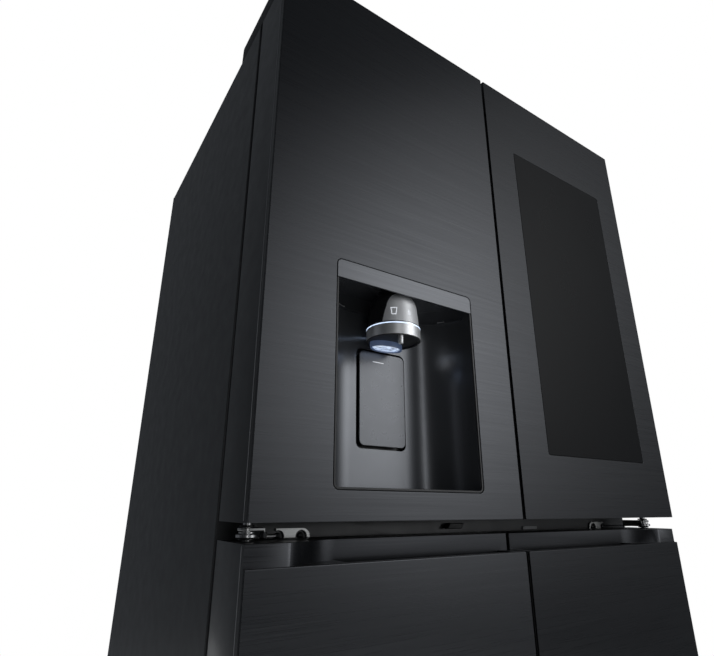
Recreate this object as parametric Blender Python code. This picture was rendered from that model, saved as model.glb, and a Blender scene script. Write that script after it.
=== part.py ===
"""French door refrigerator with an ice and water dispenser, as an assembly of separate solids.

The frame is metres, +Z up and +X to the right of someone facing the doors. The front is towards -Y, and
the origin is on the floor under the middle of the whole box. A depth is measured back from the front face.
Run it with blender --background --python part.py, or from Blender's text editor.
"""

from math import cos, pi, radians, sin

import bmesh
import bpy
from mathutils import Vector

# ---------------------------------------------------------------- driving dimensions, in metres
WIDTH = 0.914
DEPTH = 0.743
HEIGHT = 1.792
SPLIT = 0.902  # underside of the upper doors

GAP = 0.0003  # between pieces that touch
CLEARANCE = 0.0015  # between pieces that move past each other
BEYOND = 0.010  # how far a cutter runs past what it cuts

CASE_BOTTOM = 0.030
CASE_WALL = 0.0015
HINGE_RISE = 0.044  # from the top of the cabinet to the top of the hinge covers
DOOR_DROP = 0.006  # from the top of the hinge covers to the top of the doors
FRAME_SHEET = 0.002

# Doors
DOOR_GAP = 0.022  # from the top of a lower door to the underside of the upper one
DOOR_BOTTOM = 0.055
LIP_DROP = 0.0466  # from the underside of the upper doors to the top of the lower panels
DOOR_SEAM = 0.007  # between a left and a right door
DOOR_DEPTH = 0.097
PANEL = 0.003
GASKET_WIDTH = 0.014
GASKET_DEPTH = 0.0072
GASKET_INSET = 0.010
GRIP_DEPTH = (0.020, 0.046)  # finger grip in the underside of the upper doors
GRIP_HEIGHT = 0.022
GRIP_INSET = 0.0565  # from the door's inner edge
GRIP_END = 0.137  # from the hinge axis

# Hinges
AXIS_INSET = 0.020  # from the outer side of a door to its hinge axis
AXIS_DEPTH = 0.052
PIN_RADIUS = 0.005
PIN_PLAY = 0.0003
PIN_REACH = 0.030
PIN_END = 0.002  # room left at the end of a pin
COLLAR_RADIUS = 0.010
HINGE_SHEET = 0.004
HINGE_FOOT = 0.088  # width that the bottom hinges cover, from the side of the cabinet
TOP_HINGE_BACK = 0.094  # from the front of the cabinet to the rear of the top hinges
COVER_WALL = 0.0025
NOTCH_WIDTH = 0.100
NOTCH_LIP = 0.020
NOTCH_FLOOR = 0.004  # below the top of the cabinet
BRACKET = (0.112, 0.055)  # the middle hinges' plate, measured inwards from the axis
BRACKET_ARM = 0.025  # from the axis to the folded step
BRACKET_SHEET = 0.003
BRACKET_DEPTH = (0.066, 0.040)  # depth of the front of the lower arm and of the step
BRACKET_SCREWS = (0.0985, 0.0650)  # inwards from the axis
SCREW_HOLE = 0.0032
EYE_RADIUS = 0.013

# Compartments
SIDE_INSULATION = 0.057  # from the outside of the cabinet to the inside of a liner
TOP_INSULATION = 0.055
BACK_INSULATION = 0.053
LINER = 0.002
FRIDGE_FLOOR_RISE = 0.023  # above the underside of the upper doors
FREEZER_TOP_DROP = 0.035  # below the top of the lower doors
FREEZER_FLOOR_RISE = 0.060  # above the underside of the lower doors
PARTITION = 0.050
MACHINE_TOP = 0.310
MACHINE_DEPTH = 0.183  # length of the machine room, from the back
STEP_COVER = 0.030  # foam between the machine room and the freezer

# Dispenser, in the upper left door
RECESS_INNER = 0.0827  # from the door's inner edge
RECESS_OUTER = 0.1082  # from the door's outer side
RECESS_RISE = 0.038  # above the underside of the door
RECESS_HEIGHT = 0.3186
RECESS_ROOF = 0.0086  # from the top of the housing to its ceiling
RECESS_DEPTH = 0.091
RECESS_CURVE = 0.078  # radius of its rear corners, seen from above
RECESS_WALL = 0.003
RECESS_CORNER = 0.008
RECESS_SEAM = 0.0010
RIM_FRONT = 0.0005
RIM_LAP = 0.002
WELL_FLOOR = 0.006  # below the bottom of the recess
WELL_WALL = 0.003
TRAY_FRONT = 0.012
TRAY_LENGTH = 0.048
TRAY_INSET = 0.040
TRAY_MARGIN = 0.006
TRAY_SLOTS = 7
TRAY_BAR = 0.010  # between two slots of the tray
TRIM_HEIGHT = 0.0286
RING_RADIUS = 0.0430
RING_DEPTH = 0.0450  # depth of the ring's centre
RING_HEIGHT = 0.0213
HEAD_HEIGHT = 0.0621  # from the top of the ring to the ceiling
DOME_RADIUS = 0.0385
NOZZLE_RADIUS = 0.0040
NOZZLE_PLACE = (-0.0115, 0.0115)  # X from the ring's middle, and depth
NOZZLE_DROP = 0.013
OUTLET_RADIUS = 0.0205
OUTLET_WALL = 0.003
OUTLET_DROP = 0.007
OUTLET_BEHIND = 0.0195  # behind the ring's middle
SEAT_DEPTH = 0.012  # how far the outlet and the nozzle run up into the ring
PADDLE_WIDTH = 0.094
PADDLE_RISE = 0.065  # from the bottom of the recess to the bottom of the paddle
PADDLE_THICK = 0.004
PADDLE_CORNER = 0.008
PADDLE_AHEAD = 0.011  # from the paddle's face to the back of the recess
PADDLE_SWING = 0.0125  # depth of the pocket behind the back of the recess
PADDLE_MARGIN = 0.006
PIVOT_AHEAD = 0.007  # from the paddle's pivot to the rear of its pocket
PIVOT_DROP = 0.0121  # from the bottom of the ring to the pivot
PIVOT_RADIUS = 0.0025
PIVOT_REACH = 0.006  # how far the bar runs into each side

# Window of the upper right door
WINDOW_INSET = 0.076  # from the door's inner edge and outer side
WINDOW_RISE = 0.104  # from the underside of the door
WINDOW_DROP = 0.151  # from the top of the door
WINDOW_CORNER = 0.004
GLASS = 0.0035
GLASS_SEAM = 0.0004
PANE_LAP = 0.010  # how far each pane bears on the door round the opening
PANE_INSET = 0.012  # from the inner face of the door to the front of the inner pane

# Finger pocket along the top of each lower door
POCKET_DEPTH = 0.038
POCKET_LIP = 0.012
POCKET_FALL = 0.052
POCKET_INNER = 0.020  # from the door's inner edge
POCKET_END = 0.045  # from the door's outer side to where the pocket starts
POCKET_EASE = 0.046  # length of the curve that runs into the pocket

# Door furniture
DIKE_INNER = 0.0415  # from a door's inner edge to the raised part of its liner
DIKE_OUTER = 0.068  # the same from its outer side
DIKE_HEIGHT = 0.038  # how far the raised part stands out
DIKE_WALL = 0.020
DIKE_RISE = 0.028
DIKE_DROP = 0.063
LOWER_DIKE_INSET = 0.020
BIN_WALL = 0.003
BIN_REACH = 0.070  # how far the bins stand out from the raised part
BIN_HEIGHT = 0.090
BIN_RISE = 0.018
ICE_RISE = 0.0414  # from the top of the dispenser to the ice compartment
ICE_DROP = 0.025
ICE_REACH = 0.063
ICE_FRONT = 0.060
ICE_COVER = 0.010

# Flap that closes the seam between the upper doors, hinged to the left one
FLAP_INSET = 0.0175  # from the door's inner edge to the flap's axis
FLAP_AHEAD = 0.0095  # from the front of the cabinet to the flap's axis
FLAP_RADIUS = 0.0090
FLAP_REACH = 0.038
FLAP_RISE = 0.058
FLAP_DROP = 0.093
FLAP_LUG = 0.014
LUG_ROOT = 0.044  # how far the lugs run into the raised part
FLAP_PIN = 0.008
FLAP_PIN_RADIUS = 0.0030

# Feet, rollers and base
FOOT_RADIUS = 0.022
FOOT_THICK = 0.012
STUD_RADIUS = 0.006
STUD_PLAY = 0.0004
FOOT_INSET = 0.055
FOOT_BACK = 0.044  # from the front of the cabinet to the feet
ROLLER_RADIUS = 0.020
ROLLER_WIDTH = 0.020
ROLLER_INSET = 0.057
ROLLER_AHEAD = 0.083  # from the back of the cabinet to the rollers' axle
AXLE_RADIUS = 0.004
AXLE_PLAY = 0.0003
AXLE_END = 0.004
CHEEK_REACH = 0.014
CHEEK_DROP = 0.009  # below the axle
BASE_RISE = 0.006  # from the top of the rollers to the base
BASE_SHEET = 0.003
BASE_BACK = 0.094  # from the front of the cabinet to the front of the base
PLINTH_DEPTH = 0.034
PLINTH_BOTTOM = 0.012
PLINTH_SHEET = 0.003
COMPRESSOR_X = 0.240
COMPRESSOR_AHEAD = 0.095

# Interior fittings
SHELF_GLASS = 0.006
SHELF_BEHIND_BINS = 0.040
SHELF_AHEAD = 0.038  # from the back of a compartment to the shelves and drawers
CRISPER_HEIGHT = 0.180
DRAWER_WALL = 0.003
DRAWER_HEADROOM = 0.040
DRAWER_SPACE = 0.010
FREEZER_DRAWER_BEHIND = 0.025  # from the raised part of the lower doors to the drawers
DUCT_WIDTH = 0.180
DUCT_DEPTH = 0.034
DUCT_VENTS = 6
VENT_HEIGHT = 0.014
VENT_SIDE = 0.050

# Derived places
HALF = WIDTH / 2
SEAM = DOOR_SEAM / 2
CASE_TOP = HEIGHT - HINGE_RISE
DOOR_TOP = HEIGHT - DOOR_DROP
LOWER_TOP = SPLIT - DOOR_GAP
LOWER_PANEL_TOP = SPLIT - LIP_DROP
POCKET_FLOOR = LOWER_TOP - POCKET_FALL
BAR_HEIGHT = (LOWER_TOP + SPLIT) / 2  # middle of the gap where the middle hinges lie
GASKET_BACK = DOOR_DEPTH + GAP + GASKET_DEPTH
CASE_FRONT = GASKET_BACK + CLEARANCE
FRAME_BACK = CASE_FRONT + FRAME_SHEET + GAP
AXIS_X = HALF - AXIS_INSET
PIN_HOLE = PIN_RADIUS + PIN_PLAY

CAVITY_SIDE = HALF - SIDE_INSULATION
CAVITY_TOP = CASE_TOP - TOP_INSULATION
CAVITY_BACK = DEPTH - BACK_INSULATION
FRIDGE_FLOOR = SPLIT + FRIDGE_FLOOR_RISE
FREEZER_TOP = LOWER_TOP - FREEZER_TOP_DROP
FREEZER_FLOOR = DOOR_BOTTOM + FREEZER_FLOOR_RISE
MACHINE_FRONT = DEPTH - MACHINE_DEPTH
STEP_TOP = MACHINE_TOP + STEP_COVER
STEP_FRONT = MACHINE_FRONT - STEP_COVER

RECESS_LEFT = RECESS_OUTER - HALF
RECESS_RIGHT = -SEAM - RECESS_INNER
RECESS_MIDDLE = (RECESS_LEFT + RECESS_RIGHT) / 2
RECESS_BOTTOM = SPLIT + RECESS_RISE
RECESS_TOP = RECESS_BOTTOM + RECESS_HEIGHT
RECESS_CEILING = RECESS_TOP - RECESS_ROOF
RING_TOP = RECESS_CEILING - HEAD_HEIGHT
RING_BOTTOM = RING_TOP - RING_HEIGHT
PADDLE_POCKET = RECESS_DEPTH + PADDLE_SWING
PADDLE_FRONT = RECESS_DEPTH - PADDLE_AHEAD
PADDLE_BOTTOM = RECESS_BOTTOM + PADDLE_RISE
PIVOT_DEPTH = PADDLE_POCKET - PIVOT_AHEAD
PIVOT_HEIGHT = RING_BOTTOM - PIVOT_DROP
PADDLE_TOP = PIVOT_HEIGHT + PIVOT_RADIUS + 0.001
HOUSING_BACK = PADDLE_POCKET + RECESS_WALL
TRAY_DEPTH = (TRAY_FRONT, TRAY_FRONT + TRAY_LENGTH)

WINDOW_X = (SEAM + WINDOW_INSET, HALF - WINDOW_INSET)
WINDOW_Z = (SPLIT + WINDOW_RISE, DOOR_TOP - WINDOW_DROP)
DIKE_DEPTH = DOOR_DEPTH + DIKE_HEIGHT
DIKE_Z = (SPLIT + DIKE_RISE, CASE_TOP - DIKE_DROP)
BIN_BACK = DIKE_DEPTH + BIN_REACH
ICE_DEPTH = DIKE_DEPTH + ICE_REACH
ICE_Z = (RECESS_TOP + ICE_RISE, DIKE_Z[1] - ICE_DROP)
FLAP_X = -SEAM - FLAP_INSET
FLAP_DEPTH = CASE_FRONT + FLAP_AHEAD
FLAP_Z = (SPLIT + FLAP_RISE, CASE_TOP - FLAP_DROP)

FOOT_DEPTH = CASE_FRONT + FOOT_BACK
STUD_HOLE = STUD_RADIUS + STUD_PLAY
ROLLER_DEPTH = DEPTH - ROLLER_AHEAD
AXLE_HOLE = AXLE_RADIUS + AXLE_PLAY
BASE_HEIGHT = 2 * ROLLER_RADIUS + BASE_RISE
BASE_FRONT = CASE_FRONT + BASE_BACK
COMPRESSOR_DEPTH = DEPTH - COMPRESSOR_AHEAD

SHELF_FRONT = BIN_BACK + SHELF_BEHIND_BINS
SHELF_BACK = CAVITY_BACK - SHELF_AHEAD
CRISPER_TOP = FRIDGE_FLOOR + CRISPER_HEIGHT
SHELF_SPACE = (CAVITY_TOP - CRISPER_TOP) / 3
FREEZER_MIDDLE = (FREEZER_FLOOR + FREEZER_TOP) / 2

MATERIALS = {  # base colour, roughness, metallic
    "black_steel": ((0.060, 0.062, 0.066), 0.32, 0.9),
    "dark_paint": ((0.035, 0.036, 0.038), 0.45, 0.3),
    "door_core": ((0.040, 0.041, 0.044), 0.45, 0.2),
    "black_glass": ((0.010, 0.011, 0.013), 0.06, 0.0),
    "clear_glass": ((0.75, 0.80, 0.80), 0.05, 0.0),
    "white_plastic": ((0.80, 0.81, 0.82), 0.40, 0.0),
    "clear_plastic": ((0.78, 0.83, 0.86), 0.15, 0.0),
    "gray_rubber": ((0.22, 0.22, 0.23), 0.70, 0.0),
    "dispenser_plastic": ((0.075, 0.077, 0.082), 0.28, 0.2),
    "satin_silver": ((0.55, 0.56, 0.58), 0.28, 0.8),
    "zinc_steel": ((0.55, 0.55, 0.54), 0.35, 0.9),
    "galvanised": ((0.42, 0.43, 0.44), 0.45, 0.8),
    "foam": ((0.72, 0.66, 0.48), 0.85, 0.0),
    "black_plastic": ((0.018, 0.018, 0.019), 0.50, 0.0),
    "black_iron": ((0.020, 0.020, 0.021), 0.45, 0.4),
    "light_lens": ((0.80, 0.88, 1.00), 0.20, 0.0),
}


# ---------------------------------------------------------------- helpers
def clear_scene():
    for obj in list(bpy.data.objects):
        bpy.data.objects.remove(obj, do_unlink=True)


def material(name):
    found = bpy.data.materials.get(name)
    if found:
        return found
    colour, roughness, metallic = MATERIALS[name]
    made = bpy.data.materials.new(name)
    made.use_nodes = True
    shader = made.node_tree.nodes["Principled BSDF"]
    shader.inputs["Base Color"].default_value = (*colour, 1.0)
    shader.inputs["Roughness"].default_value = roughness
    shader.inputs["Metallic"].default_value = metallic
    return made


def back(depth):
    """The Y of a place this far behind the front face."""
    return depth - DEPTH / 2


def pivot(name, x, depth, z=0.0, parent=None):
    """An empty on a joint's axis, which carries the pieces that turn about it."""
    empty = bpy.data.objects.new(name, None)
    bpy.context.scene.collection.objects.link(empty)
    place = Vector((x, back(depth), z))
    if parent:
        empty.parent = parent
        place -= world_place(parent)
    empty.location = place
    return empty


def world_place(obj):
    place = obj.location.copy()
    while obj.parent:
        obj = obj.parent
        place += obj.location
    return place


def add(name, mesh_builder, centre, look, parent):
    """An object whose mesh stands round centre, placed there under its parent."""
    mesh = bpy.data.meshes.new(name)
    mesh_builder.to_mesh(mesh)
    mesh_builder.free()
    obj = bpy.data.objects.new(name, mesh)
    bpy.context.scene.collection.objects.link(obj)
    obj.location = Vector(centre)
    if parent:
        obj.parent = parent
        obj.location -= world_place(parent)
    if look:
        mesh.materials.append(material(look))
    return obj


def box(name, x, depth, z, look=None, parent=None):
    """A box from its lowest and highest X, depth and Z."""
    low = Vector((min(x), back(min(depth)), min(z)))
    high = Vector((max(x), back(max(depth)), max(z)))
    centre = (low + high) / 2
    half = (high - low) / 2
    builder = bmesh.new()
    bmesh.ops.create_cube(builder, size=2.0)
    bmesh.ops.scale(builder, vec=half, verts=builder.verts)
    return add(name, builder, centre, look, parent)


def prism(name, outline, along, span, look=None, parent=None):
    """An outline of (a, b) points pushed along X, Y (as a depth) or Z. Along Z, a and b are X and depth;
    along X they are depth and Z; along Y they are X and Z."""
    start, end = min(span), max(span)
    places = {
        "Z": lambda a, b, c: Vector((a, back(b), c)),
        "X": lambda a, b, c: Vector((c, back(a), b)),
        "Y": lambda a, b, c: Vector((a, back(c), b)),
    }[along]
    corners = [places(a, b, c) for c in (start, end) for a, b in outline]
    centre = sum(corners, Vector()) / len(corners)
    builder = bmesh.new()
    near = [builder.verts.new(places(a, b, start) - centre) for a, b in outline]
    face = builder.faces.new(near)
    pushed = bmesh.ops.extrude_face_region(builder, geom=[face])
    shift = places(outline[0][0], outline[0][1], end) - places(outline[0][0], outline[0][1], start)
    moved = [item for item in pushed["geom"] if isinstance(item, bmesh.types.BMVert)]
    bmesh.ops.translate(builder, vec=shift, verts=moved)
    bmesh.ops.recalc_face_normals(builder, faces=builder.faces)
    return add(name, builder, centre, look, parent)


def rounded(a, b, radius, steps=4, ends="both"):
    """A rectangle with round corners, from its lowest and highest a and b. Ends says which corners are
    round: both, or the top or bottom pair."""
    points = []
    corners = ((max(a), max(b), 0), (min(a), max(b), 1), (min(a), min(b), 2), (max(a), min(b), 3))
    square = {"both": (), "top": (2, 3), "bottom": (0, 1)}[ends]
    for edge_a, edge_b, quarter in corners:
        if quarter in square:
            points.append((edge_a, edge_b))
            continue
        middle_a = edge_a - radius if quarter in (0, 3) else edge_a + radius
        middle_b = edge_b - radius if quarter in (0, 1) else edge_b + radius
        for step in range(steps + 1):
            angle = (quarter + step / steps) * pi / 2
            points.append((middle_a + radius * cos(angle), middle_b + radius * sin(angle)))
    return points


def circle(radius, a=0.0, b=0.0, sides=24):
    turns = [2 * pi * side / sides for side in range(sides)]
    return [(a + radius * cos(turn), b + radius * sin(turn)) for turn in turns]


def rod(name, radius, x, depth, z, sides=24, look=None, parent=None):
    """An upright round bar: x and depth are its middle, z its two ends."""
    return prism(name, circle(radius, x, depth, sides), "Z", z, look, parent)


def turned(name, profile, x, depth, z, look=None, parent=None, sides=32):
    """A solid turned about an upright axis from (radius, height) points, which start and end on the axis."""
    builder = bmesh.new()
    points = [builder.verts.new((radius, 0.0, height)) for radius, height in profile]
    edges = [builder.edges.new(pair) for pair in zip(points, points[1:])]
    bmesh.ops.spin(
        builder, geom=points + edges, cent=(0, 0, 0), axis=(0, 0, 1), angle=2 * pi, steps=sides
    )
    bmesh.ops.remove_doubles(builder, verts=builder.verts, dist=1e-6)
    bmesh.ops.recalc_face_normals(builder, faces=builder.faces)
    obj = add(name, builder, Vector((x, back(depth), z)), look, parent)
    obj.data.shade_smooth()
    obj.data.set_sharp_from_angle(angle=radians(35))
    return obj


def boolean(target, tool, operation):
    tool.hide_render = True
    tool.display_type = "WIRE"
    step = target.modifiers.new(tool.name, "BOOLEAN")
    step.operation = operation
    step.object = tool
    step.solver = "EXACT"


def cut(target, *tools):
    for tool in tools:
        boolean(target, tool, "DIFFERENCE")


def join(target, *tools):
    for tool in tools:
        boolean(target, tool, "UNION")


def soften(obj, width, segments=2, angle=40):
    """Rounds the edges that are sharper than the angle."""
    step = obj.modifiers.new("soft_edges", "BEVEL")
    step.width = width
    step.segments = segments
    step.limit_method = "ANGLE"
    step.angle_limit = radians(angle)


def span(*ends):
    """Two ends in rising order."""
    return (min(ends), max(ends))


def widen(ends, margin):
    """Two ends pushed apart by a margin at each."""
    return (min(ends) - margin, max(ends) + margin)


def sided(side, near, far):
    """A span of X on one side of the middle plane: side is -1 for left and 1 for right."""
    return span(side * near, side * far)


SIDES = (("left", -1), ("right", 1))


# ---------------------------------------------------------------- cabinet
def make_case():
    """The painted steel wrap: two sides and a top in one folded sheet."""
    depth = (FRAME_BACK, DEPTH - FRAME_SHEET - GAP)
    case = box("cabinet_case", (-HALF, HALF), depth, (CASE_BOTTOM, CASE_TOP), "dark_paint")
    inner = HALF - CASE_WALL
    cut(case, box("case_inside", (-inner, inner), widen(depth, BEYOND), (0.0, CASE_TOP - CASE_WALL)))


def make_front_frame():
    """The steel flange round the three openings. Its crossbar shows between the doors."""
    side = HALF - GAP
    depth = (CASE_FRONT, CASE_FRONT + FRAME_SHEET)
    frame = box("front_frame", (-side, side), depth, (DOOR_BOTTOM, CASE_TOP - GAP), "dark_paint")
    through = widen(depth, BEYOND)
    cut(frame, box("fridge_mouth", (-CAVITY_SIDE, CAVITY_SIDE), through, (FRIDGE_FLOOR, CAVITY_TOP)))
    for name, side in SIDES:
        x = sided(side, PARTITION / 2, CAVITY_SIDE)
        cut(frame, box(f"freezer_mouth_{name}", x, through, (FREEZER_FLOOR, FREEZER_TOP)))


def freezer_outline(grow=0.0):
    """The freezer's side view: a box with a step at the back, over the machine room."""
    low, high = FREEZER_FLOOR - grow, FREEZER_TOP + grow
    rear, step = CAVITY_BACK + grow, STEP_FRONT + grow
    front, ledge = FRAME_BACK, STEP_TOP - grow
    return [(front, low), (step, low), (step, ledge), (rear, ledge), (rear, high), (front, high)]


def reach_forward(outline):
    """The outline with its front pushed forward, so that a cut opens through the front."""
    front = min(a for a, _ in outline)
    return [(a - BEYOND if a == front else a, b) for a, b in outline]


def make_liners():
    side = CAVITY_SIDE + LINER
    liner = box(
        "fridge_liner",
        (-side, side),
        (FRAME_BACK, CAVITY_BACK + LINER),
        (FRIDGE_FLOOR - LINER, CAVITY_TOP + LINER),
        "white_plastic",
    )
    room = (FRAME_BACK - BEYOND, CAVITY_BACK)
    cut(liner, box("fridge_room", (-CAVITY_SIDE, CAVITY_SIDE), room, (FRIDGE_FLOOR, CAVITY_TOP)))
    for name, sign in SIDES:
        outer = sided(sign, PARTITION / 2 - LINER, CAVITY_SIDE + LINER)
        inner = sided(sign, PARTITION / 2, CAVITY_SIDE)
        liner = prism(f"freezer_liner_{name}", freezer_outline(LINER), "X", outer, "white_plastic")
        cut(liner, prism(f"freezer_room_{name}", reach_forward(freezer_outline()), "X", inner))


def make_insulation():
    """The foam between the case and the liners, cut by each of them and by the machine room."""
    side = HALF - CASE_WALL - GAP
    depth = (FRAME_BACK, DEPTH - FRAME_SHEET - GAP)
    foam = box("insulation", (-side, side), depth, (DOOR_BOTTOM, CASE_TOP - CASE_WALL - GAP), "foam")
    skin = LINER + GAP
    fridge_side = CAVITY_SIDE + skin
    fridge = box(
        "fridge_seat",
        (-fridge_side, fridge_side),
        (FRAME_BACK - BEYOND, CAVITY_BACK + skin),
        (FRIDGE_FLOOR - skin, CAVITY_TOP + skin),
    )
    machine = box("machine_room", (-HALF, HALF), (MACHINE_FRONT, DEPTH), (0.0, MACHINE_TOP))
    cut(foam, fridge, machine)
    for name, sign in SIDES:
        x = sided(sign, PARTITION / 2 - skin, CAVITY_SIDE + skin)
        cut(foam, prism(f"freezer_seat_{name}", reach_forward(freezer_outline(skin)), "X", x))


def make_back():
    """The back panel, and the louvred cover of the machine room under it."""
    sheet = (DEPTH - FRAME_SHEET, DEPTH)
    side = HALF - GAP
    panel_low = MACHINE_TOP - BEYOND
    box("back_panel", (-side, side), sheet, (panel_low, CASE_TOP - GAP), "galvanised")
    side = HALF - 0.012
    z = (BASE_HEIGHT, panel_low - CLEARANCE)
    cover = box("machine_cover", (-side, side), sheet, z, "black_plastic")
    slots, slot_width, slot_height, pitch, rows = 12, 0.010, 0.075, 0.026, (0.035, 0.135)
    first = -side + 0.150
    for row, rise in enumerate(rows):
        low = z[0] + rise
        for number in range(slots):
            x = first + number * pitch
            vent_x = (x - slot_width / 2, x + slot_width / 2)
            cut(cover, box(f"vent_{row}_{number}", vent_x, widen(sheet, BEYOND), (low, low + slot_height)))


def roller_x(sign):
    return sign * (HALF - ROLLER_INSET)


def make_base():
    """The floor of the machine room, folded down into cheeks that hold the rear rollers."""
    side = HALF - CASE_WALL - GAP
    sheet = (BASE_HEIGHT, BASE_HEIGHT + BASE_SHEET)
    base = box("base_pan", (-side, side), (BASE_FRONT, DEPTH - FRAME_SHEET - GAP), sheet, "galvanised")
    for name, sign in SIDES:
        middle = roller_x(sign)
        for number, edge in enumerate((-1, 1)):
            inner = middle + edge * (ROLLER_WIDTH / 2 + CLEARANCE)
            x = span(inner, inner + edge * BASE_SHEET)
            depth = (ROLLER_DEPTH - CHEEK_REACH, ROLLER_DEPTH + CHEEK_REACH)
            z = (ROLLER_RADIUS - CHEEK_DROP, BASE_HEIGHT + BASE_SHEET / 2)
            join(base, box(f"cheek_{name}_{number}", x, depth, z))
        hole = circle(AXLE_HOLE, ROLLER_DEPTH, ROLLER_RADIUS, 16)
        cut(base, prism(f"axle_hole_{name}", hole, "X", (middle - ROLLER_WIDTH, middle + ROLLER_WIDTH)))


def make_rollers():
    for name, sign in SIDES:
        x = roller_x(sign)
        hub = pivot(f"roller_{name}_axis", x, ROLLER_DEPTH, ROLLER_RADIUS)
        half = ROLLER_WIDTH / 2
        tread = circle(ROLLER_RADIUS, ROLLER_DEPTH, ROLLER_RADIUS, 32)
        wheel = prism(f"roller_{name}", tread, "X", (x - half, x + half), "black_plastic", hub)
        reach = half + CLEARANCE + BASE_SHEET + AXLE_END
        pin = circle(AXLE_RADIUS, ROLLER_DEPTH, ROLLER_RADIUS, 16)
        join(wheel, prism(f"axle_{name}", pin, "X", (x - reach, x + reach), parent=hub))


def make_compressor():
    """The welded shell, its skirt and its suction stub, standing on the base."""
    profile = [
        (0.0, 0.0),
        (0.066, 0.0),
        (0.066, 0.012),
        (0.062, 0.020),
        (0.072, 0.040),
        (0.074, 0.080),
        (0.074, 0.115),
        (0.066, 0.145),
        (0.045, 0.163),
        (0.020, 0.170),
        (0.0, 0.171),
    ]
    x, depth = COMPRESSOR_X, COMPRESSOR_DEPTH
    height = BASE_HEIGHT + BASE_SHEET + GAP
    shell = turned("compressor", profile, x, depth, height, "black_iron", sides=28)
    stub = rod("suction_stub", 0.006, x - 0.055, depth + 0.030, (height + 0.10, height + 0.20), 12)
    join(shell, stub)


# ---------------------------------------------------------------- hinges, feet and plinth
def make_top_hinges():
    seat = CASE_TOP + GAP
    rear = CASE_FRONT + TOP_HINGE_BACK
    for name, sign in SIDES:
        axis = sign * AXIS_X
        x = sided(sign, AXIS_X - 0.052, HALF - 0.005)
        depth = (AXIS_DEPTH - 0.014, rear)
        plate = box(f"top_hinge_{name}", x, depth, (seat, seat + HINGE_SHEET), "zinc_steel")
        pin_z = (CASE_TOP - NOTCH_FLOOR - PIN_REACH + PIN_END, seat + HINGE_SHEET / 2)
        join(plate, rod(f"top_pin_{name}", PIN_RADIUS, axis, AXIS_DEPTH, pin_z))

        x = sided(sign, AXIS_X - 0.065, HALF - 0.001)
        depth = (AXIS_DEPTH - 0.024, rear + 0.015)
        cover = box(f"hinge_cover_{name}", x, depth, (seat, HEIGHT), "black_plastic")
        inside_z = (seat - BEYOND, HEIGHT - COVER_WALL)
        cut(cover, box(f"cover_inside_{name}", widen(x, -COVER_WALL), widen(depth, -COVER_WALL), inside_z))


def make_middle_hinges():
    """A folded bracket screwed to the crossbar, with a pin up into the upper door and one down."""
    rear = CASE_FRONT - GAP
    step = (AXIS_X - BRACKET_ARM - BRACKET_SHEET, AXIS_X - BRACKET_ARM)
    foot = (LOWER_TOP + 0.0020, LOWER_TOP + 0.0020 + BRACKET_SHEET)
    arm = (BAR_HEIGHT - 0.0005, BAR_HEIGHT + 0.0035)
    for name, sign in SIDES:
        axis = sign * AXIS_X
        plate_x = sided(sign, AXIS_X - BRACKET[0], AXIS_X - BRACKET[1])
        plate_z = (LOWER_TOP - 0.012, LOWER_TOP + 0.013)
        bracket = box(f"mid_hinge_{name}", plate_x, (rear - BRACKET_SHEET, rear), plate_z, "zinc_steel")
        foot_span = sided(sign, AXIS_X - BRACKET[0], step[1])
        lower_arm = box(f"lower_arm_{name}", foot_span, (BRACKET_DEPTH[0], rear), foot)
        riser_depth = (BRACKET_DEPTH[1], BRACKET_DEPTH[0] + 0.019)
        riser = box(f"riser_{name}", sided(sign, *step), riser_depth, (foot[0], arm[1]))
        arm_depth = (AXIS_DEPTH - EYE_RADIUS, AXIS_DEPTH + EYE_RADIUS)
        upper_arm = box(f"upper_arm_{name}", sided(sign, step[0], AXIS_X), arm_depth, arm)
        eye = rod(f"hinge_eye_{name}", EYE_RADIUS, axis, AXIS_DEPTH, arm)
        collar_z = (LOWER_TOP + CLEARANCE, SPLIT - CLEARANCE)
        collar = rod(f"hinge_collar_{name}", COLLAR_RADIUS, axis, AXIS_DEPTH, collar_z)
        pin_z = (LOWER_TOP - PIN_REACH + PIN_END, SPLIT + PIN_REACH - PIN_END)
        pin = rod(f"middle_pin_{name}", PIN_RADIUS, axis, AXIS_DEPTH, pin_z)
        join(bracket, lower_arm, riser, upper_arm, eye, collar, pin)
        for number, inwards in enumerate(BRACKET_SCREWS):
            hole = circle(SCREW_HOLE, sign * (AXIS_X - inwards), LOWER_TOP + 0.009, 16)
            cut(bracket, prism(f"screw_hole_{name}_{number}", hole, "Y", (rear - BEYOND, rear + BEYOND)))


def foot_x(sign):
    return sign * (HALF - FOOT_INSET)


def make_bottom_hinges():
    z = (BASE_HEIGHT - 0.002, BASE_HEIGHT + 0.002)
    depth = (AXIS_DEPTH - 0.016, BASE_FRONT - BEYOND)
    for name, sign in SIDES:
        axis = sign * AXIS_X
        x = sided(sign, HALF - HINGE_FOOT, HALF - CASE_WALL - GAP)
        plate = box(f"bottom_hinge_{name}", x, depth, z, "zinc_steel")
        collar_z = (z[0], DOOR_BOTTOM - CLEARANCE)
        collar = rod(f"bottom_collar_{name}", COLLAR_RADIUS, axis, AXIS_DEPTH, collar_z)
        pin_z = (z[0], DOOR_BOTTOM + PIN_REACH - PIN_END)
        pin = rod(f"bottom_pin_{name}", PIN_RADIUS, axis, AXIS_DEPTH, pin_z)
        join(plate, collar, pin)
        hole = rod(f"stud_hole_{name}", STUD_HOLE, foot_x(sign), FOOT_DEPTH, widen(z, BEYOND), 16)
        cut(plate, hole)


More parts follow.
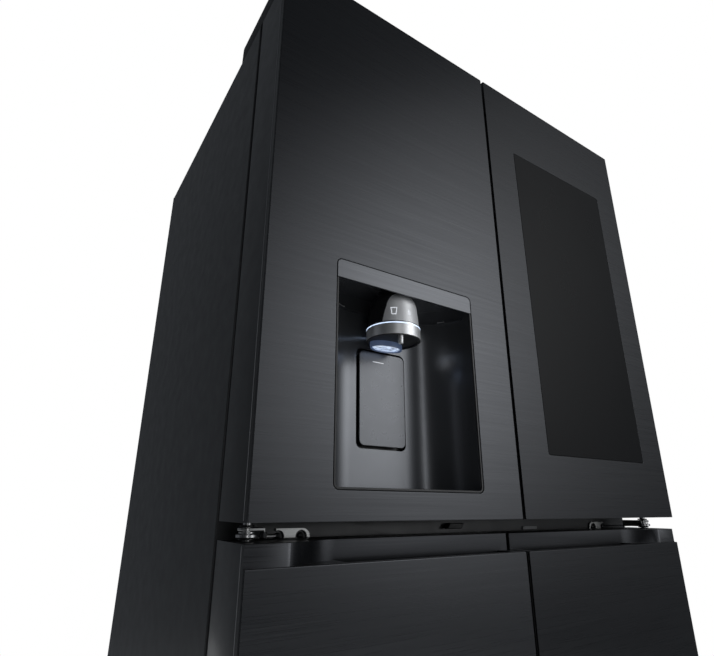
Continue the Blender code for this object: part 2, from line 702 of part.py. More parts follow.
def make_feet():
    top = DOOR_BOTTOM - GAP - CLEARANCE
    profile = [
        (0.0, 0.0),
        (FOOT_RADIUS, 0.0),
        (FOOT_RADIUS, FOOT_THICK * 0.5),
        (FOOT_RADIUS * 0.6, FOOT_THICK),
        (STUD_RADIUS, FOOT_THICK),
        (STUD_RADIUS, top),
        (0.0, top),
    ]
    for name, sign in SIDES:
        x = foot_x(sign)
        hub = pivot(f"leveling_foot_{name}_axis", x, FOOT_DEPTH)
        turned(f"leveling_foot_{name}", profile, x, FOOT_DEPTH, 0.0, "black_plastic", hub, sides=20)


def make_plinth():
    side = HALF - HINGE_FOOT - GAP
    top = DOOR_BOTTOM - 0.005
    rear = CASE_FRONT - PLINTH_SHEET + 0.001
    depth = (rear - PLINTH_DEPTH, rear)
    plinth = box("kick_plate", (-side, side), depth, (PLINTH_BOTTOM, top), "dark_paint")
    inside_x = (-side + PLINTH_SHEET, side - PLINTH_SHEET)
    inside_depth = (depth[0] + PLINTH_SHEET, rear + BEYOND)
    cut(plinth, box("plinth_inside", inside_x, inside_depth, (0.0, top - PLINTH_SHEET)))


# ---------------------------------------------------------------- doors
def door_x(sign):
    return sided(sign, SEAM, HALF)


def dike_x(sign):
    """The X that the raised part of a door's liner covers."""
    return sided(sign, SEAM + DIKE_INNER, HALF - DIKE_OUTER)


def pin_hole(name, sign, z, parent):
    return rod(name, PIN_HOLE, sign * AXIS_X, AXIS_DEPTH, z, parent=parent)


def make_gasket(name, sign, z, parent):
    outer_x = sided(sign, SEAM + GASKET_INSET / 3, HALF - GASKET_INSET)
    outer_z = widen(z, -GASKET_INSET)
    depth = (DOOR_DEPTH + GAP, GASKET_BACK)
    ring = box(name, outer_x, depth, outer_z, "gray_rubber", parent)
    hollow_x, hollow_z = widen(outer_x, -GASKET_WIDTH), widen(outer_z, -GASKET_WIDTH)
    cut(ring, box(name + "_hollow", hollow_x, widen(depth, BEYOND), hollow_z, parent=parent))


def make_bin(name, x, depth, low, parent, height=BIN_HEIGHT, wall=BIN_WALL):
    """An open-topped box: a door bin or a drawer."""
    tray = box(name, x, depth, (low, low + height), "clear_plastic", parent)
    inside_z = (low + wall, low + height + BEYOND)
    cut(tray, box(name + "_inside", widen(x, -wall), widen(depth, -wall), inside_z, parent=parent))


def upper_body(name, sign, parent):
    """The foamed core of an upper door with its hinge notch, pin holes and finger grip."""
    depth = (PANEL + GAP, DOOR_DEPTH)
    body = box(name, door_x(sign), depth, (SPLIT, DOOR_TOP), "door_core", parent)
    notch_x = sided(sign, HALF - NOTCH_WIDTH, HALF + BEYOND)
    notch_z = (CASE_TOP - NOTCH_FLOOR, DOOR_TOP + BEYOND)
    notch = box(name + "_notch", notch_x, (NOTCH_LIP, DOOR_DEPTH + BEYOND), notch_z, parent=parent)
    grip_x = sided(sign, SEAM + GRIP_INSET, AXIS_X - GRIP_END)
    grip_z = (SPLIT - BEYOND, SPLIT + GRIP_HEIGHT)
    grip = box(name + "_grip", grip_x, GRIP_DEPTH, grip_z, parent=parent)
    top_hole = pin_hole(name + "_top_hole", sign, (notch_z[0] - PIN_REACH, DOOR_TOP), parent)
    low_hole = pin_hole(name + "_low_hole", sign, (SPLIT - BEYOND, SPLIT + PIN_REACH), parent)
    cut(body, notch, grip, top_hole, low_hole)
    return body


def recess_outline():
    """The dispenser recess seen from above: a flat back between two quarter rounds."""
    left, right, steps = RECESS_LEFT + RECESS_WALL, RECESS_RIGHT - RECESS_WALL, 10
    points = [(left, -BEYOND), (left, RECESS_DEPTH - RECESS_CURVE)]
    for step in range(1, steps):
        angle = step / steps * pi / 2
        depth = RECESS_DEPTH - RECESS_CURVE * (1 - sin(angle))
        points.append((left + RECESS_CURVE * (1 - cos(angle)), depth))
    points.append((left + RECESS_CURVE, RECESS_DEPTH))
    mirrored = [(left + right - x, depth) for x, depth in reversed(points)]
    return points + mirrored


def make_housing(door, door_body):
    """The moulded recess, with the pocket behind the paddle and the well that the drip tray lies in."""
    outer_x, outer_z = (RECESS_LEFT, RECESS_RIGHT), (RECESS_BOTTOM, RECESS_TOP)
    outline = rounded(outer_x, outer_z, RECESS_CORNER)
    depth = (PANEL + GAP, HOUSING_BACK)
    housing = prism("dispenser_housing", outline, "Y", depth, "dispenser_plastic", door)
    rim_z = (RECESS_BOTTOM, RECESS_TOP - TRIM_HEIGHT - GAP)
    rim_outline = rounded(outer_x, rim_z, RECESS_CORNER, ends="bottom")
    join(housing, prism("dispenser_rim", rim_outline, "Y", (RIM_FRONT, PANEL + RIM_LAP), parent=door))

    cavity_z = (RECESS_BOTTOM + RECESS_WALL, RECESS_CEILING)
    cavity = prism("recess_cavity", recess_outline(), "Z", cavity_z, parent=door)
    pocket_x = (
        RECESS_MIDDLE - PADDLE_WIDTH / 2 - PADDLE_MARGIN,
        RECESS_MIDDLE + PADDLE_WIDTH / 2 + PADDLE_MARGIN,
    )
    pocket_z = (PADDLE_BOTTOM - PADDLE_MARGIN, PIVOT_HEIGHT + PADDLE_MARGIN)
    pocket_depth = (PADDLE_FRONT - 2 * BEYOND, PADDLE_POCKET)
    pocket = prism("paddle_pocket", rounded(pocket_x, pocket_z, BEYOND), "Y", pocket_depth, parent=door)
    bore = circle(PIVOT_RADIUS + GAP, PIVOT_DEPTH, PIVOT_HEIGHT, 16)
    bore_x = widen(pocket_x, PIVOT_REACH)
    cut(housing, cavity, pocket, prism("pivot_bore", bore, "X", bore_x, parent=door))
    seat_depth = (0.0, HOUSING_BACK + GAP)
    seat = box("housing_seat", widen(outer_x, GAP), seat_depth, widen(outer_z, GAP), parent=door)

    x, top = widen(outer_x, -TRAY_INSET), RECESS_BOTTOM + RECESS_WALL
    well_z = (RECESS_BOTTOM - WELL_FLOOR, top + GAP)
    shell_z = (well_z[0] - WELL_WALL, RECESS_BOTTOM + GAP)
    shell_depth = widen(TRAY_DEPTH, WELL_WALL)
    join(housing, box("well_shell", widen(x, WELL_WALL), shell_depth, shell_z, parent=door))
    cut(housing, box("tray_well", widen(x, GAP), widen(TRAY_DEPTH, GAP), well_z, parent=door))
    well_seat_z = (shell_z[0] - GAP, RECESS_BOTTOM)
    well_seat = box("well_seat", widen(x, WELL_WALL + GAP), widen(shell_depth, GAP), well_seat_z, parent=door)
    cut(door_body, seat, well_seat)

    tray_z = (well_z[0] + GAP, top - GAP)
    tray = box("drip_tray", x, TRAY_DEPTH, tray_z, "black_plastic", door)
    first = x[0] + TRAY_MARGIN
    pitch = (x[1] - x[0] - 2 * TRAY_MARGIN + TRAY_BAR) / TRAY_SLOTS
    slot_depth = widen(TRAY_DEPTH, -TRAY_MARGIN)
    for number in range(TRAY_SLOTS):
        slot_x = (first + number * pitch, first + (number + 1) * pitch - TRAY_BAR)
        slot_z = (tray_z[0] + WELL_WALL, top + BEYOND)
        cut(tray, box(f"tray_slot_{number}", slot_x, slot_depth, slot_z, parent=door))


def make_trim(door):
    x, z = (RECESS_LEFT, RECESS_RIGHT), (RECESS_TOP - TRIM_HEIGHT, RECESS_TOP)
    outline = rounded(x, z, RECESS_CORNER, ends="top")
    trim = prism("dispenser_trim", outline, "Y", (0.0, PANEL), "black_steel", door)
    soften(trim, 0.0004, 1)


def make_head(door):
    """The head hangs from the recess's ceiling, with the ring, the lit outlet and the nozzle under it."""
    base, top = RING_TOP + GAP, RECESS_CEILING - GAP
    neck = DOME_RADIUS * 0.50
    dome = [
        (0.0, 0.0),
        (DOME_RADIUS, 0.0),
        (DOME_RADIUS, 0.012),
        (DOME_RADIUS * 0.95, 0.024),
        (DOME_RADIUS * 0.83, 0.035),
        (DOME_RADIUS * 0.67, 0.044),
        (neck, 0.050),
        (neck, top - base),
        (0.0, top - base),
    ]
    turned("dispenser_head", dome, RECESS_MIDDLE, RING_DEPTH, base, "satin_silver", door, sides=40)
    band = [(0.0, 0.0), (RING_RADIUS, 0.0), (RING_RADIUS, RING_HEIGHT), (0.0, RING_HEIGHT)]
    ring = turned(
        "dispenser_ring", band, RECESS_MIDDLE, RING_DEPTH, RING_BOTTOM, "satin_silver", door, sides=48
    )
    outlet_depth = RING_DEPTH + OUTLET_BEHIND
    nozzle_x, nozzle_depth = RECESS_MIDDLE + NOZZLE_PLACE[0], NOZZLE_PLACE[1]
    seat_z = (RING_BOTTOM - BEYOND, RING_BOTTOM + SEAT_DEPTH)
    top = seat_z[1] - GAP
    outlet_seat = rod(
        "outlet_seat", OUTLET_RADIUS + GAP, RECESS_MIDDLE, outlet_depth, seat_z, 32, parent=door
    )
    nozzle_seat = rod("nozzle_seat", NOZZLE_RADIUS + GAP, nozzle_x, nozzle_depth, seat_z, 16, parent=door)
    cut(ring, outlet_seat, nozzle_seat)

    lens_z = (RING_BOTTOM - OUTLET_DROP, top)
    lens = rod("dispenser_lamp", OUTLET_RADIUS, RECESS_MIDDLE, outlet_depth, lens_z, 32, "light_lens", door)
    bore_z = (lens_z[0] - BEYOND, top - OUTLET_WALL)
    bore_radius = OUTLET_RADIUS - OUTLET_WALL
    cut(lens, rod("lens_bore", bore_radius, RECESS_MIDDLE, outlet_depth, bore_z, 32, parent=door))
    nozzle_z = (RING_BOTTOM - NOZZLE_DROP, top)
    rod("dispenser_nozzle", NOZZLE_RADIUS, nozzle_x, nozzle_depth, nozzle_z, 16, "satin_silver", door)


def make_paddle(door):
    """The press pad, with an arm back to the bar that it turns on."""
    hub = pivot("dispenser_paddle_axis", RECESS_MIDDLE, PIVOT_DEPTH, PIVOT_HEIGHT, door)
    x = (RECESS_MIDDLE - PADDLE_WIDTH / 2, RECESS_MIDDLE + PADDLE_WIDTH / 2)
    depth = (PADDLE_FRONT, PADDLE_FRONT + PADDLE_THICK)
    outline = rounded(x, (PADDLE_BOTTOM, PADDLE_TOP), PADDLE_CORNER)
    paddle = prism("dispenser_paddle", outline, "Y", depth, "dispenser_plastic", hub)
    arm_depth = (PADDLE_FRONT + PADDLE_THICK / 2, PIVOT_DEPTH + PIVOT_RADIUS)
    arm_z = (PADDLE_TOP - 0.012, PIVOT_HEIGHT + PIVOT_RADIUS)
    arm = box("paddle_arm", widen(x, -PADDLE_WIDTH / 4), arm_depth, arm_z, parent=hub)
    bar_x = widen(x, PADDLE_MARGIN + PIVOT_REACH - CLEARANCE)
    bar = prism("paddle_bar", circle(PIVOT_RADIUS, PIVOT_DEPTH, PIVOT_HEIGHT, 16), "X", bar_x, parent=hub)
    join(paddle, arm, bar)


def make_upper_left_door():
    sign, x, dike = -1, door_x(-1), dike_x(-1)
    door = pivot("upper_left_door_axis", -AXIS_X, AXIS_DEPTH)
    panel = box("upper_left_door_panel", x, (0.0, PANEL), (SPLIT, DOOR_TOP), "black_steel", door)
    opening_x = widen((RECESS_LEFT, RECESS_RIGHT), RECESS_SEAM)
    opening_z = widen((RECESS_BOTTOM, RECESS_TOP), RECESS_SEAM)
    opening = rounded(opening_x, opening_z, RECESS_CORNER + RECESS_SEAM)
    cut(panel, prism("panel_opening", opening, "Y", (-BEYOND, PANEL + BEYOND), parent=door))

    body = upper_body("upper_left_door_body", sign, door)
    raised = box("left_dike", dike, (DOOR_DEPTH - BEYOND, DIKE_DEPTH), DIKE_Z, parent=door)
    ice_box = box("ice_box", dike, (DIKE_DEPTH - BEYOND, ICE_DEPTH), ICE_Z, parent=door)
    lug_x = (max(dike) - LUG_ROOT, FLAP_X + FLAP_RADIUS)
    lug_depth = (CASE_FRONT, FLAP_DEPTH + FLAP_RADIUS)
    lug_ends = (
        (FLAP_Z[0] - GAP - FLAP_LUG, FLAP_Z[0] - GAP),
        (FLAP_Z[1] + GAP, FLAP_Z[1] + GAP + FLAP_LUG),
    )
    lugs = [box(f"flap_lug_{number}", lug_x, lug_depth, z, parent=door) for number, z in enumerate(lug_ends)]
    join(body, raised, ice_box, *lugs)
    flap_bore_z = widen(FLAP_Z, FLAP_PIN + CLEARANCE)
    flap_bore = rod("flap_bore", FLAP_PIN_RADIUS + GAP, FLAP_X, FLAP_DEPTH, flap_bore_z, 16, parent=door)
    inside_x = widen(dike, -DIKE_WALL)
    ice_depth = (ICE_FRONT, ICE_DEPTH + BEYOND)
    ice_room = box("ice_room", inside_x, ice_depth, widen(ICE_Z, -DIKE_WALL), parent=door)
    cut(body, flap_bore, ice_room)
    cover_depth = (ICE_DEPTH + GAP, ICE_DEPTH + GAP + ICE_COVER)
    box("ice_compartment_cover", dike, cover_depth, ICE_Z, "white_plastic", door)

    make_gasket("upper_left_gasket", sign, (SPLIT, CASE_TOP), door)
    bin_low = DIKE_Z[0] + DIKE_WALL + BIN_RISE
    make_bin("upper_left_bin", inside_x, (DIKE_DEPTH + GAP, BIN_BACK), bin_low, door)
    make_housing(door, body)
    make_trim(door)
    make_head(door)
    make_paddle(door)
    make_mullion_flap(door)


def make_mullion_flap(door):
    """The bar that closes the seam between the upper doors, shown folded back as on an open door."""
    hub = pivot("mullion_flap_axis", FLAP_X, FLAP_DEPTH, parent=door)
    steps = 10
    outline = []
    for step in range(steps + 1):
        angle = pi + pi * step / steps
        outline.append((FLAP_X + FLAP_RADIUS * cos(angle), FLAP_DEPTH + FLAP_RADIUS * sin(angle)))
    rear = FLAP_DEPTH + FLAP_REACH
    outline += [(FLAP_X + FLAP_RADIUS, rear), (FLAP_X - FLAP_RADIUS, rear)]
    flap = prism("mullion_flap", outline, "Z", FLAP_Z, "door_core", hub)
    pin_z = widen(FLAP_Z, FLAP_PIN)
    join(flap, rod("flap_pin", FLAP_PIN_RADIUS, FLAP_X, FLAP_DEPTH, pin_z, 16, parent=hub))


def make_upper_right_door():
    sign, x, dike = 1, door_x(1), dike_x(1)
    door = pivot("upper_right_door_axis", AXIS_X, AXIS_DEPTH)
    panel = box("upper_right_door_panel", x, (0.0, PANEL), (SPLIT, DOOR_TOP), "black_steel", door)
    opening = rounded(WINDOW_X, WINDOW_Z, WINDOW_CORNER)
    cut(panel, prism("glass_opening", opening, "Y", (-BEYOND, PANEL + BEYOND), parent=door))
    pane = rounded(widen(WINDOW_X, -GLASS_SEAM), widen(WINDOW_Z, -GLASS_SEAM), WINDOW_CORNER - GLASS_SEAM)
    prism("upper_right_door_glass", pane, "Y", (0.0, PANEL), "black_glass", door)

    body = upper_body("upper_right_door_body", sign, door)
    join(body, box("right_dike", dike, (DOOR_DEPTH - BEYOND, DIKE_DEPTH), DIKE_Z, parent=door))
    inside_x, inside_z = widen(dike, -DIKE_WALL), widen(DIKE_Z, -DIKE_WALL)
    well = box("right_well", inside_x, (DOOR_DEPTH, DIKE_DEPTH + BEYOND), inside_z, parent=door)
    sight_x, sight_z = widen(WINDOW_X, -PANE_LAP), widen(WINDOW_Z, -PANE_LAP)
    window = box("window_opening", sight_x, (-BEYOND, DIKE_DEPTH), sight_z, parent=door)
    pane_depth = (DOOR_DEPTH - PANE_INSET, DOOR_DEPTH - PANE_INSET + GLASS)
    rebate_depth = (pane_depth[0] - GAP, DOOR_DEPTH + BEYOND)
    rebate = box("pane_rebate", widen(WINDOW_X, GAP), rebate_depth, widen(WINDOW_Z, GAP), parent=door)
    cut(body, well, window, rebate)
    box("upper_right_inner_pane", WINDOW_X, pane_depth, WINDOW_Z, "clear_glass", door)
    make_gasket("upper_right_gasket", sign, (SPLIT, CASE_TOP), door)
    bin_x, bin_depth = widen(inside_x, -GAP), (DOOR_DEPTH + GAP, BIN_BACK)
    for level, low in (("lower", inside_z[0] + BIN_RISE), ("upper", sum(DIKE_Z) / 2)):
        make_bin(f"upper_right_bin_{level}", bin_x, bin_depth, low, door)


def pocket_outline(sign):
    """The finger pocket seen from above: shallow at the hinge side, then an S curve to its full depth."""
    start, shallow, steps = HALF - POCKET_END, PANEL + RIM_LAP, 10
    outer, inner = HALF + BEYOND, SEAM - BEYOND
    points = [(outer, -BEYOND), (outer, shallow), (start, shallow)]
    for step in range(1, steps):
        share = step / steps
        ease = (1 - cos(pi * share)) / 2
        points.append((start - POCKET_EASE * share, shallow + (POCKET_DEPTH - shallow) * ease))
    points += [(start - POCKET_EASE, POCKET_DEPTH), (inner, POCKET_DEPTH), (inner, -BEYOND)]
    return [(sign * x, depth) for x, depth in points]


def make_lower_door(side, sign):
    name, x = f"lower_{side}", door_x(sign)
    door = pivot(name + "_door_axis", sign * AXIS_X, AXIS_DEPTH)
    box(name + "_door_panel", x, (0.0, PANEL), (DOOR_BOTTOM, LOWER_PANEL_TOP), "black_steel", door)
    body = box(name + "_door_body", x, (PANEL + GAP, DOOR_DEPTH), (DOOR_BOTTOM, LOWER_TOP), "door_core", door)
    dike_depth = (DOOR_DEPTH - BEYOND, DIKE_DEPTH - BEYOND)
    dike_z = (FREEZER_FLOOR + LOWER_DIKE_INSET, FREEZER_TOP - LOWER_DIKE_INSET)
    join(body, box(name + "_dike", dike_x(sign), dike_depth, dike_z, parent=door))
    band_z = (LOWER_PANEL_TOP, LOWER_TOP + BEYOND)
    band = prism(name + "_band", pocket_outline(sign), "Z", band_z, parent=door)
    pocket_x = sided(sign, SEAM + POCKET_INNER, HALF - POCKET_END - POCKET_EASE)
    pocket_z = (POCKET_FLOOR, LOWER_TOP)
    pocket = box(name + "_pocket", pocket_x, (POCKET_LIP, POCKET_DEPTH), pocket_z, parent=door)
    top_hole = pin_hole(name + "_top_hole", sign, (LOWER_TOP - PIN_REACH, LOWER_TOP + BEYOND), door)
    low_hole = pin_hole(name + "_low_hole", sign, (DOOR_BOTTOM - BEYOND, DOOR_BOTTOM + PIN_REACH), door)
    cut(body, band, pocket, top_hole, low_hole)
    make_gasket(name + "_gasket", sign, (DOOR_BOTTOM, LOWER_TOP - DOOR_DROP), door)


# ---------------------------------------------------------------- interior fittings
def make_shelves():
    x = (-CAVITY_SIDE + GAP, CAVITY_SIDE - GAP)
    for number, name in enumerate(("crisper_cover", "shelf_middle", "shelf_top")):
        low = CRISPER_TOP + number * SHELF_SPACE
        box(name, x, (SHELF_FRONT, SHELF_BACK), (low, low + SHELF_GLASS), "clear_glass")


def make_duct():
    """The cold air duct on the back of the fridge compartment, with a row of outlets."""
    depth = (CAVITY_BACK - GAP - DUCT_DEPTH, CAVITY_BACK - GAP)
    z = (CRISPER_TOP + 2 * BEYOND, CAVITY_TOP - GAP)
    duct = box("air_duct", (-DUCT_WIDTH / 2, DUCT_WIDTH / 2), depth, z, "white_plastic")
    pitch = (z[1] - z[0]) / (DUCT_VENTS + 1)
    for number in range(DUCT_VENTS):
        low = z[0] + (number + 1) * pitch - VENT_HEIGHT / 2
        vent_depth = (depth[0] - BEYOND, depth[0] + DUCT_DEPTH / 3)
        vent = box(f"duct_vent_{number}", (-VENT_SIDE, VENT_SIDE), vent_depth, (low, low + VENT_HEIGHT))
        cut(duct, vent)


def make_drawers():
    for side, sign in SIDES:
        x, depth = sided(sign, CLEARANCE, CAVITY_SIDE - GAP), (SHELF_FRONT, SHELF_BACK)
        low = FRIDGE_FLOOR + GAP
        height = CRISPER_TOP - CLEARANCE - low
        make_bin(f"crisper_drawer_{side}", x, depth, low, None, height, DRAWER_WALL)

        front = DIKE_DEPTH - BEYOND + FREEZER_DRAWER_BEHIND
        x = sided(sign, PARTITION / 2 + GAP, CAVITY_SIDE - GAP)
        drawers = (
            ("lower", FREEZER_FLOOR + GAP, FREEZER_MIDDLE - DRAWER_SPACE, STEP_FRONT - 2 * DRAWER_SPACE),
            ("upper", FREEZER_MIDDLE, FREEZER_TOP - DRAWER_HEADROOM, SHELF_BACK),
        )
        for level, low, high, rear in drawers:
            name = f"freezer_drawer_{side}_{level}"
            make_bin(name, x, (front, rear), low, None, high - low, DRAWER_WALL)


def main():
    clear_scene()
    make_case()
    make_front_frame()
    make_liners()
    make_insulation()
    make_back()
    make_base()
    make_rollers()
    make_compressor()
    make_top_hinges()
    make_middle_hinges()
    make_bottom_hinges()
    make_feet()
    make_plinth()
    make_upper_left_door()
    make_upper_right_door()
    make_lower_door("left", -1)
    make_lower_door("right", 1)
    make_shelves()
    make_duct()
    make_drawers()


main()
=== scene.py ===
"""The looks of a french door refrigerator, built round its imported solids.

Everything is in metres in the solids' own frame: +Z up, +X to the right of someone facing the doors, and the
doors' fronts towards -Y. Every piece is made where it stands and then rides on the body that carries it.
"""

from math import cos, hypot, pi, radians, sin

import bmesh
import bpy
from mathutils import Matrix, Vector


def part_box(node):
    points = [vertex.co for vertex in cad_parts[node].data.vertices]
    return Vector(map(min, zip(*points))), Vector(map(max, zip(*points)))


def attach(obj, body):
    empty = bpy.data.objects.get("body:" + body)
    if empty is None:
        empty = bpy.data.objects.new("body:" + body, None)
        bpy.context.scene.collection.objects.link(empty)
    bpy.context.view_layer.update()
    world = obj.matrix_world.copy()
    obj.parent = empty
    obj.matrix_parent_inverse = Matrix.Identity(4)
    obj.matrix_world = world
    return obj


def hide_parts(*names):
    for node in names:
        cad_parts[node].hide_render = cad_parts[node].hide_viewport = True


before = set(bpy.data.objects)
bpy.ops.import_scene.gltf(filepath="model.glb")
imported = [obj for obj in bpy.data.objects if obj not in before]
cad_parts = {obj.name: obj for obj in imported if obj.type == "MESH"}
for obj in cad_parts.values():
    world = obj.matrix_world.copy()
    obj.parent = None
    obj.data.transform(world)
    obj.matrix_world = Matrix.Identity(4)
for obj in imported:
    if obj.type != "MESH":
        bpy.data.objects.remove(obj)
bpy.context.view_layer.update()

bl_info = {
    "name": "French Door Refrigerator",
    "version": (1, 0, 0),
    "blender": (4, 5, 0),
    "location": "3D View > Sidebar > Refrigerator",
    "description": "Makes the fronts, dispenser, hinges, fittings and finishes of a french door refrigerator",
    "category": "Add Mesh",
}


# ---------------------------------------------------------------- places taken from the solids
class Box:
    """The box of one or more solids: x, y and z are (lowest, highest)."""

    def __init__(self, *nodes):
        ends = [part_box(node) for node in nodes]
        low = [min(end[0][axis] for end in ends) for axis in range(3)]
        high = [max(end[1][axis] for end in ends) for axis in range(3)]
        self.x, self.y, self.z = zip(low, high)
        self.middle = Vector([(a + b) / 2 for a, b in zip(low, high)])
        self.size = Vector([b - a for a, b in zip(low, high)])


FRONT = Box("upper_left_door_panel").y[0]
GAP = 0.0003  # between pieces that touch
RECESS_WALL = 0.0030  # thickness of the dispenser's moulding


def behind(depth):
    """The Y of a place this far behind the doors' fronts."""
    return FRONT + depth


def recess_box():
    """The dispenser's housing without the well under its drip tray."""
    place = Box("dispenser_housing")
    place.z = (Box("drip_tray").z[1] + GAP - RECESS_WALL, place.z[1])
    return place


def widen(ends, margin):
    """Two ends pushed apart by a margin at each."""
    return (min(ends) - margin, max(ends) + margin)


def about(middle, half):
    """Two ends, this far to each side of a middle."""
    return (middle - half, middle + half)


def depths(near, far):
    """The Ys of two places, each this far behind the doors' fronts."""
    return (behind(near), behind(far))


def row_of(count, pitch, middle=0.0):
    """Evenly spaced places, with their middle here."""
    return [middle + (number - (count - 1) / 2) * pitch for number in range(count)]


# ---------------------------------------------------------------- settings a user would change
class FridgeColours(bpy.types.PropertyGroup):
    steel: bpy.props.FloatVectorProperty(
        name="Steel", description="Door fronts", subtype="COLOR", size=3, min=0, max=1,
        default=(0.075, 0.077, 0.082),
    )
    side_paint: bpy.props.FloatVectorProperty(
        name="Side paint", description="Cabinet sides and door edges", subtype="COLOR", size=3, min=0, max=1,
        default=(0.020, 0.0205, 0.022),
    )
    recess: bpy.props.FloatVectorProperty(
        name="Recess", description="Moulding of the dispenser recess", subtype="COLOR", size=3, min=0, max=1,
        default=(0.150, 0.155, 0.166),
    )
    liner: bpy.props.FloatVectorProperty(
        name="Liner", description="Inside of the compartments and doors", subtype="COLOR", size=3, min=0,
        max=1, default=(0.78, 0.79, 0.80),
    )
    light: bpy.props.FloatVectorProperty(
        name="Dispenser light", description="Colour of the lit outlet and ring", subtype="COLOR", size=3,
        min=0, max=1, default=(0.42, 0.60, 1.0),
    )


class FridgeSizes(bpy.types.PropertyGroup):
    edge: bpy.props.FloatProperty(
        name="Door edge radius", description="Rounding of the door fronts' edges", default=0.0013,
        min=0.0003, max=0.0014, unit="LENGTH",
    )
    grain: bpy.props.FloatProperty(
        name="Grain pitch", description="Spacing of the brushed lines", default=0.0011, min=0.0004, max=0.004,
        unit="LENGTH",
    )
    floor_radius: bpy.props.FloatProperty(
        name="Floor radius", description="Radius of the studio floor", default=2.6, min=1.5, max=10.0,
        unit="LENGTH",
    )
    lens: bpy.props.FloatProperty(
        name="Lens", description="Focal length of the camera", default=24.85, min=15, max=120,
    )


def colours():
    return bpy.context.scene.fridge_colours


def sizes():
    return bpy.context.scene.fridge_sizes


# ---------------------------------------------------------------- finishes
class Finish:
    """Builds one node material step by step round a Principled shader."""

    def __init__(self, name, colour, roughness, metallic=0.0, **sockets):
        self.material = bpy.data.materials.new(name)
        self.material.use_nodes = True
        self.nodes = self.material.node_tree.nodes
        self.links = self.material.node_tree.links
        self.shader = self.nodes["Principled BSDF"]
        self.colour = tuple(colour)[:3]
        self.roughness = roughness
        self.set("Base Color", (*self.colour, 1.0))
        self.set("Roughness", roughness)
        self.set("Metallic", metallic)
        for socket, value in sockets.items():
            self.set(socket.replace("_", " "), value)

    def set(self, socket, value):
        self.shader.inputs[socket].default_value = value
        return self

    def noise(self, scale, stretch=(1, 1, 1), detail=4.0, roughness=0.55):
        """A noise in the piece's own metres: scale is in cells per metre, stretched along each axis."""
        place = self.nodes.new("ShaderNodeTexCoord")
        mapping = self.nodes.new("ShaderNodeMapping")
        mapping.inputs["Scale"].default_value = [scale * part for part in stretch]
        noise = self.nodes.new("ShaderNodeTexNoise")
        noise.inputs["Scale"].default_value = 1.0
        noise.inputs["Detail"].default_value = detail
        noise.inputs["Roughness"].default_value = roughness
        self.links.new(place.outputs["Object"], mapping.inputs["Vector"])
        self.links.new(mapping.outputs["Vector"], noise.inputs["Vector"])
        return noise.outputs["Fac"]

    def spread(self, factor, low, high, start=0.3, end=0.7):
        """The factor from start to end, read as a value from low to high."""
        step = self.nodes.new("ShaderNodeMapRange")
        for socket, value in (("From Min", start), ("From Max", end), ("To Min", low), ("To Max", high)):
            step.inputs[socket].default_value = value
        self.links.new(factor, step.inputs["Value"])
        return step.outputs["Result"]

    def tint(self, factor, dark, light, start=0.3, end=0.7):
        """Varies the colour between dark and light times itself."""
        ramp = self.nodes.new("ShaderNodeValToRGB")
        ramp.color_ramp.elements[0].position = start
        ramp.color_ramp.elements[1].position = end
        ramp.color_ramp.elements[0].color = (*[min(1.0, part * dark) for part in self.colour], 1.0)
        ramp.color_ramp.elements[1].color = (*[min(1.0, part * light) for part in self.colour], 1.0)
        self.links.new(factor, ramp.inputs["Fac"])
        self.links.new(ramp.outputs["Color"], self.shader.inputs["Base Color"])
        return self

    def shine(self, factor, low, high):
        self.links.new(self.spread(factor, low, high), self.shader.inputs["Roughness"])
        return self

    def relief(self, factor, distance, strength=1.0):
        """Bumps the surface, on top of any bump it has."""
        bump = self.nodes.new("ShaderNodeBump")
        bump.inputs["Distance"].default_value = distance
        bump.inputs["Strength"].default_value = strength
        self.links.new(factor, bump.inputs["Height"])
        normal = self.shader.inputs["Normal"]
        if normal.is_linked:
            self.links.new(normal.links[0].from_socket, bump.inputs["Normal"])
        self.links.new(bump.outputs["Normal"], normal)
        return self


def moulded(name, colour, roughness, grain=900, relief=0.00002, wear=0.13, **sockets):
    """Moulded plastic: a fine even texture, with broad faint changes of shine."""
    finish = Finish(name, colour, roughness, **sockets)
    fine = finish.noise(grain, detail=3)
    broad = finish.noise(9, detail=3)
    finish.tint(broad, 0.975, 1.02)
    finish.shine(finish.noise(60, detail=5), roughness * (1 - wear), roughness * (1 + wear))
    finish.relief(fine, relief)
    return finish.material


def brushed(name, colour, roughness, pitch, along="X", metallic=1.0, relief=0.000006, spread=0.10, **sockets):
    """Metal brushed in one direction: long hairlines, each a little lighter or duller than the next."""
    finish = Finish(name, colour, roughness, metallic, **sockets)
    lines = 1.0 / pitch
    stretch = {"X": (0.006, 1, 1), "Z": (1, 1, 0.006), "Y": (1, 0.006, 1)}[along]
    fine = finish.noise(lines, stretch, detail=2, roughness=0.7)
    coarse = finish.noise(lines * 0.22, stretch, detail=4, roughness=0.6)
    finish.tint(coarse, 1 - spread, 1 + spread)
    finish.shine(fine, roughness * 0.86, roughness * 1.16)
    finish.relief(fine, relief)
    return finish.material


def painted(name, colour, roughness, metallic=0.25):
    """Sprayed enamel over sheet: faint orange peel and a very slow wave of the sheet."""
    finish = Finish(name, colour, roughness, metallic, Coat_Weight=0.25, Coat_Roughness=0.18)
    finish.tint(finish.noise(6, detail=3), 0.93, 1.07)
    finish.shine(finish.noise(35, detail=5), roughness * 0.9, roughness * 1.12)
    finish.relief(finish.noise(420, detail=2), 0.00003)
    finish.relief(finish.noise(2.2, detail=1), 0.0008, 0.5)
    return finish.material


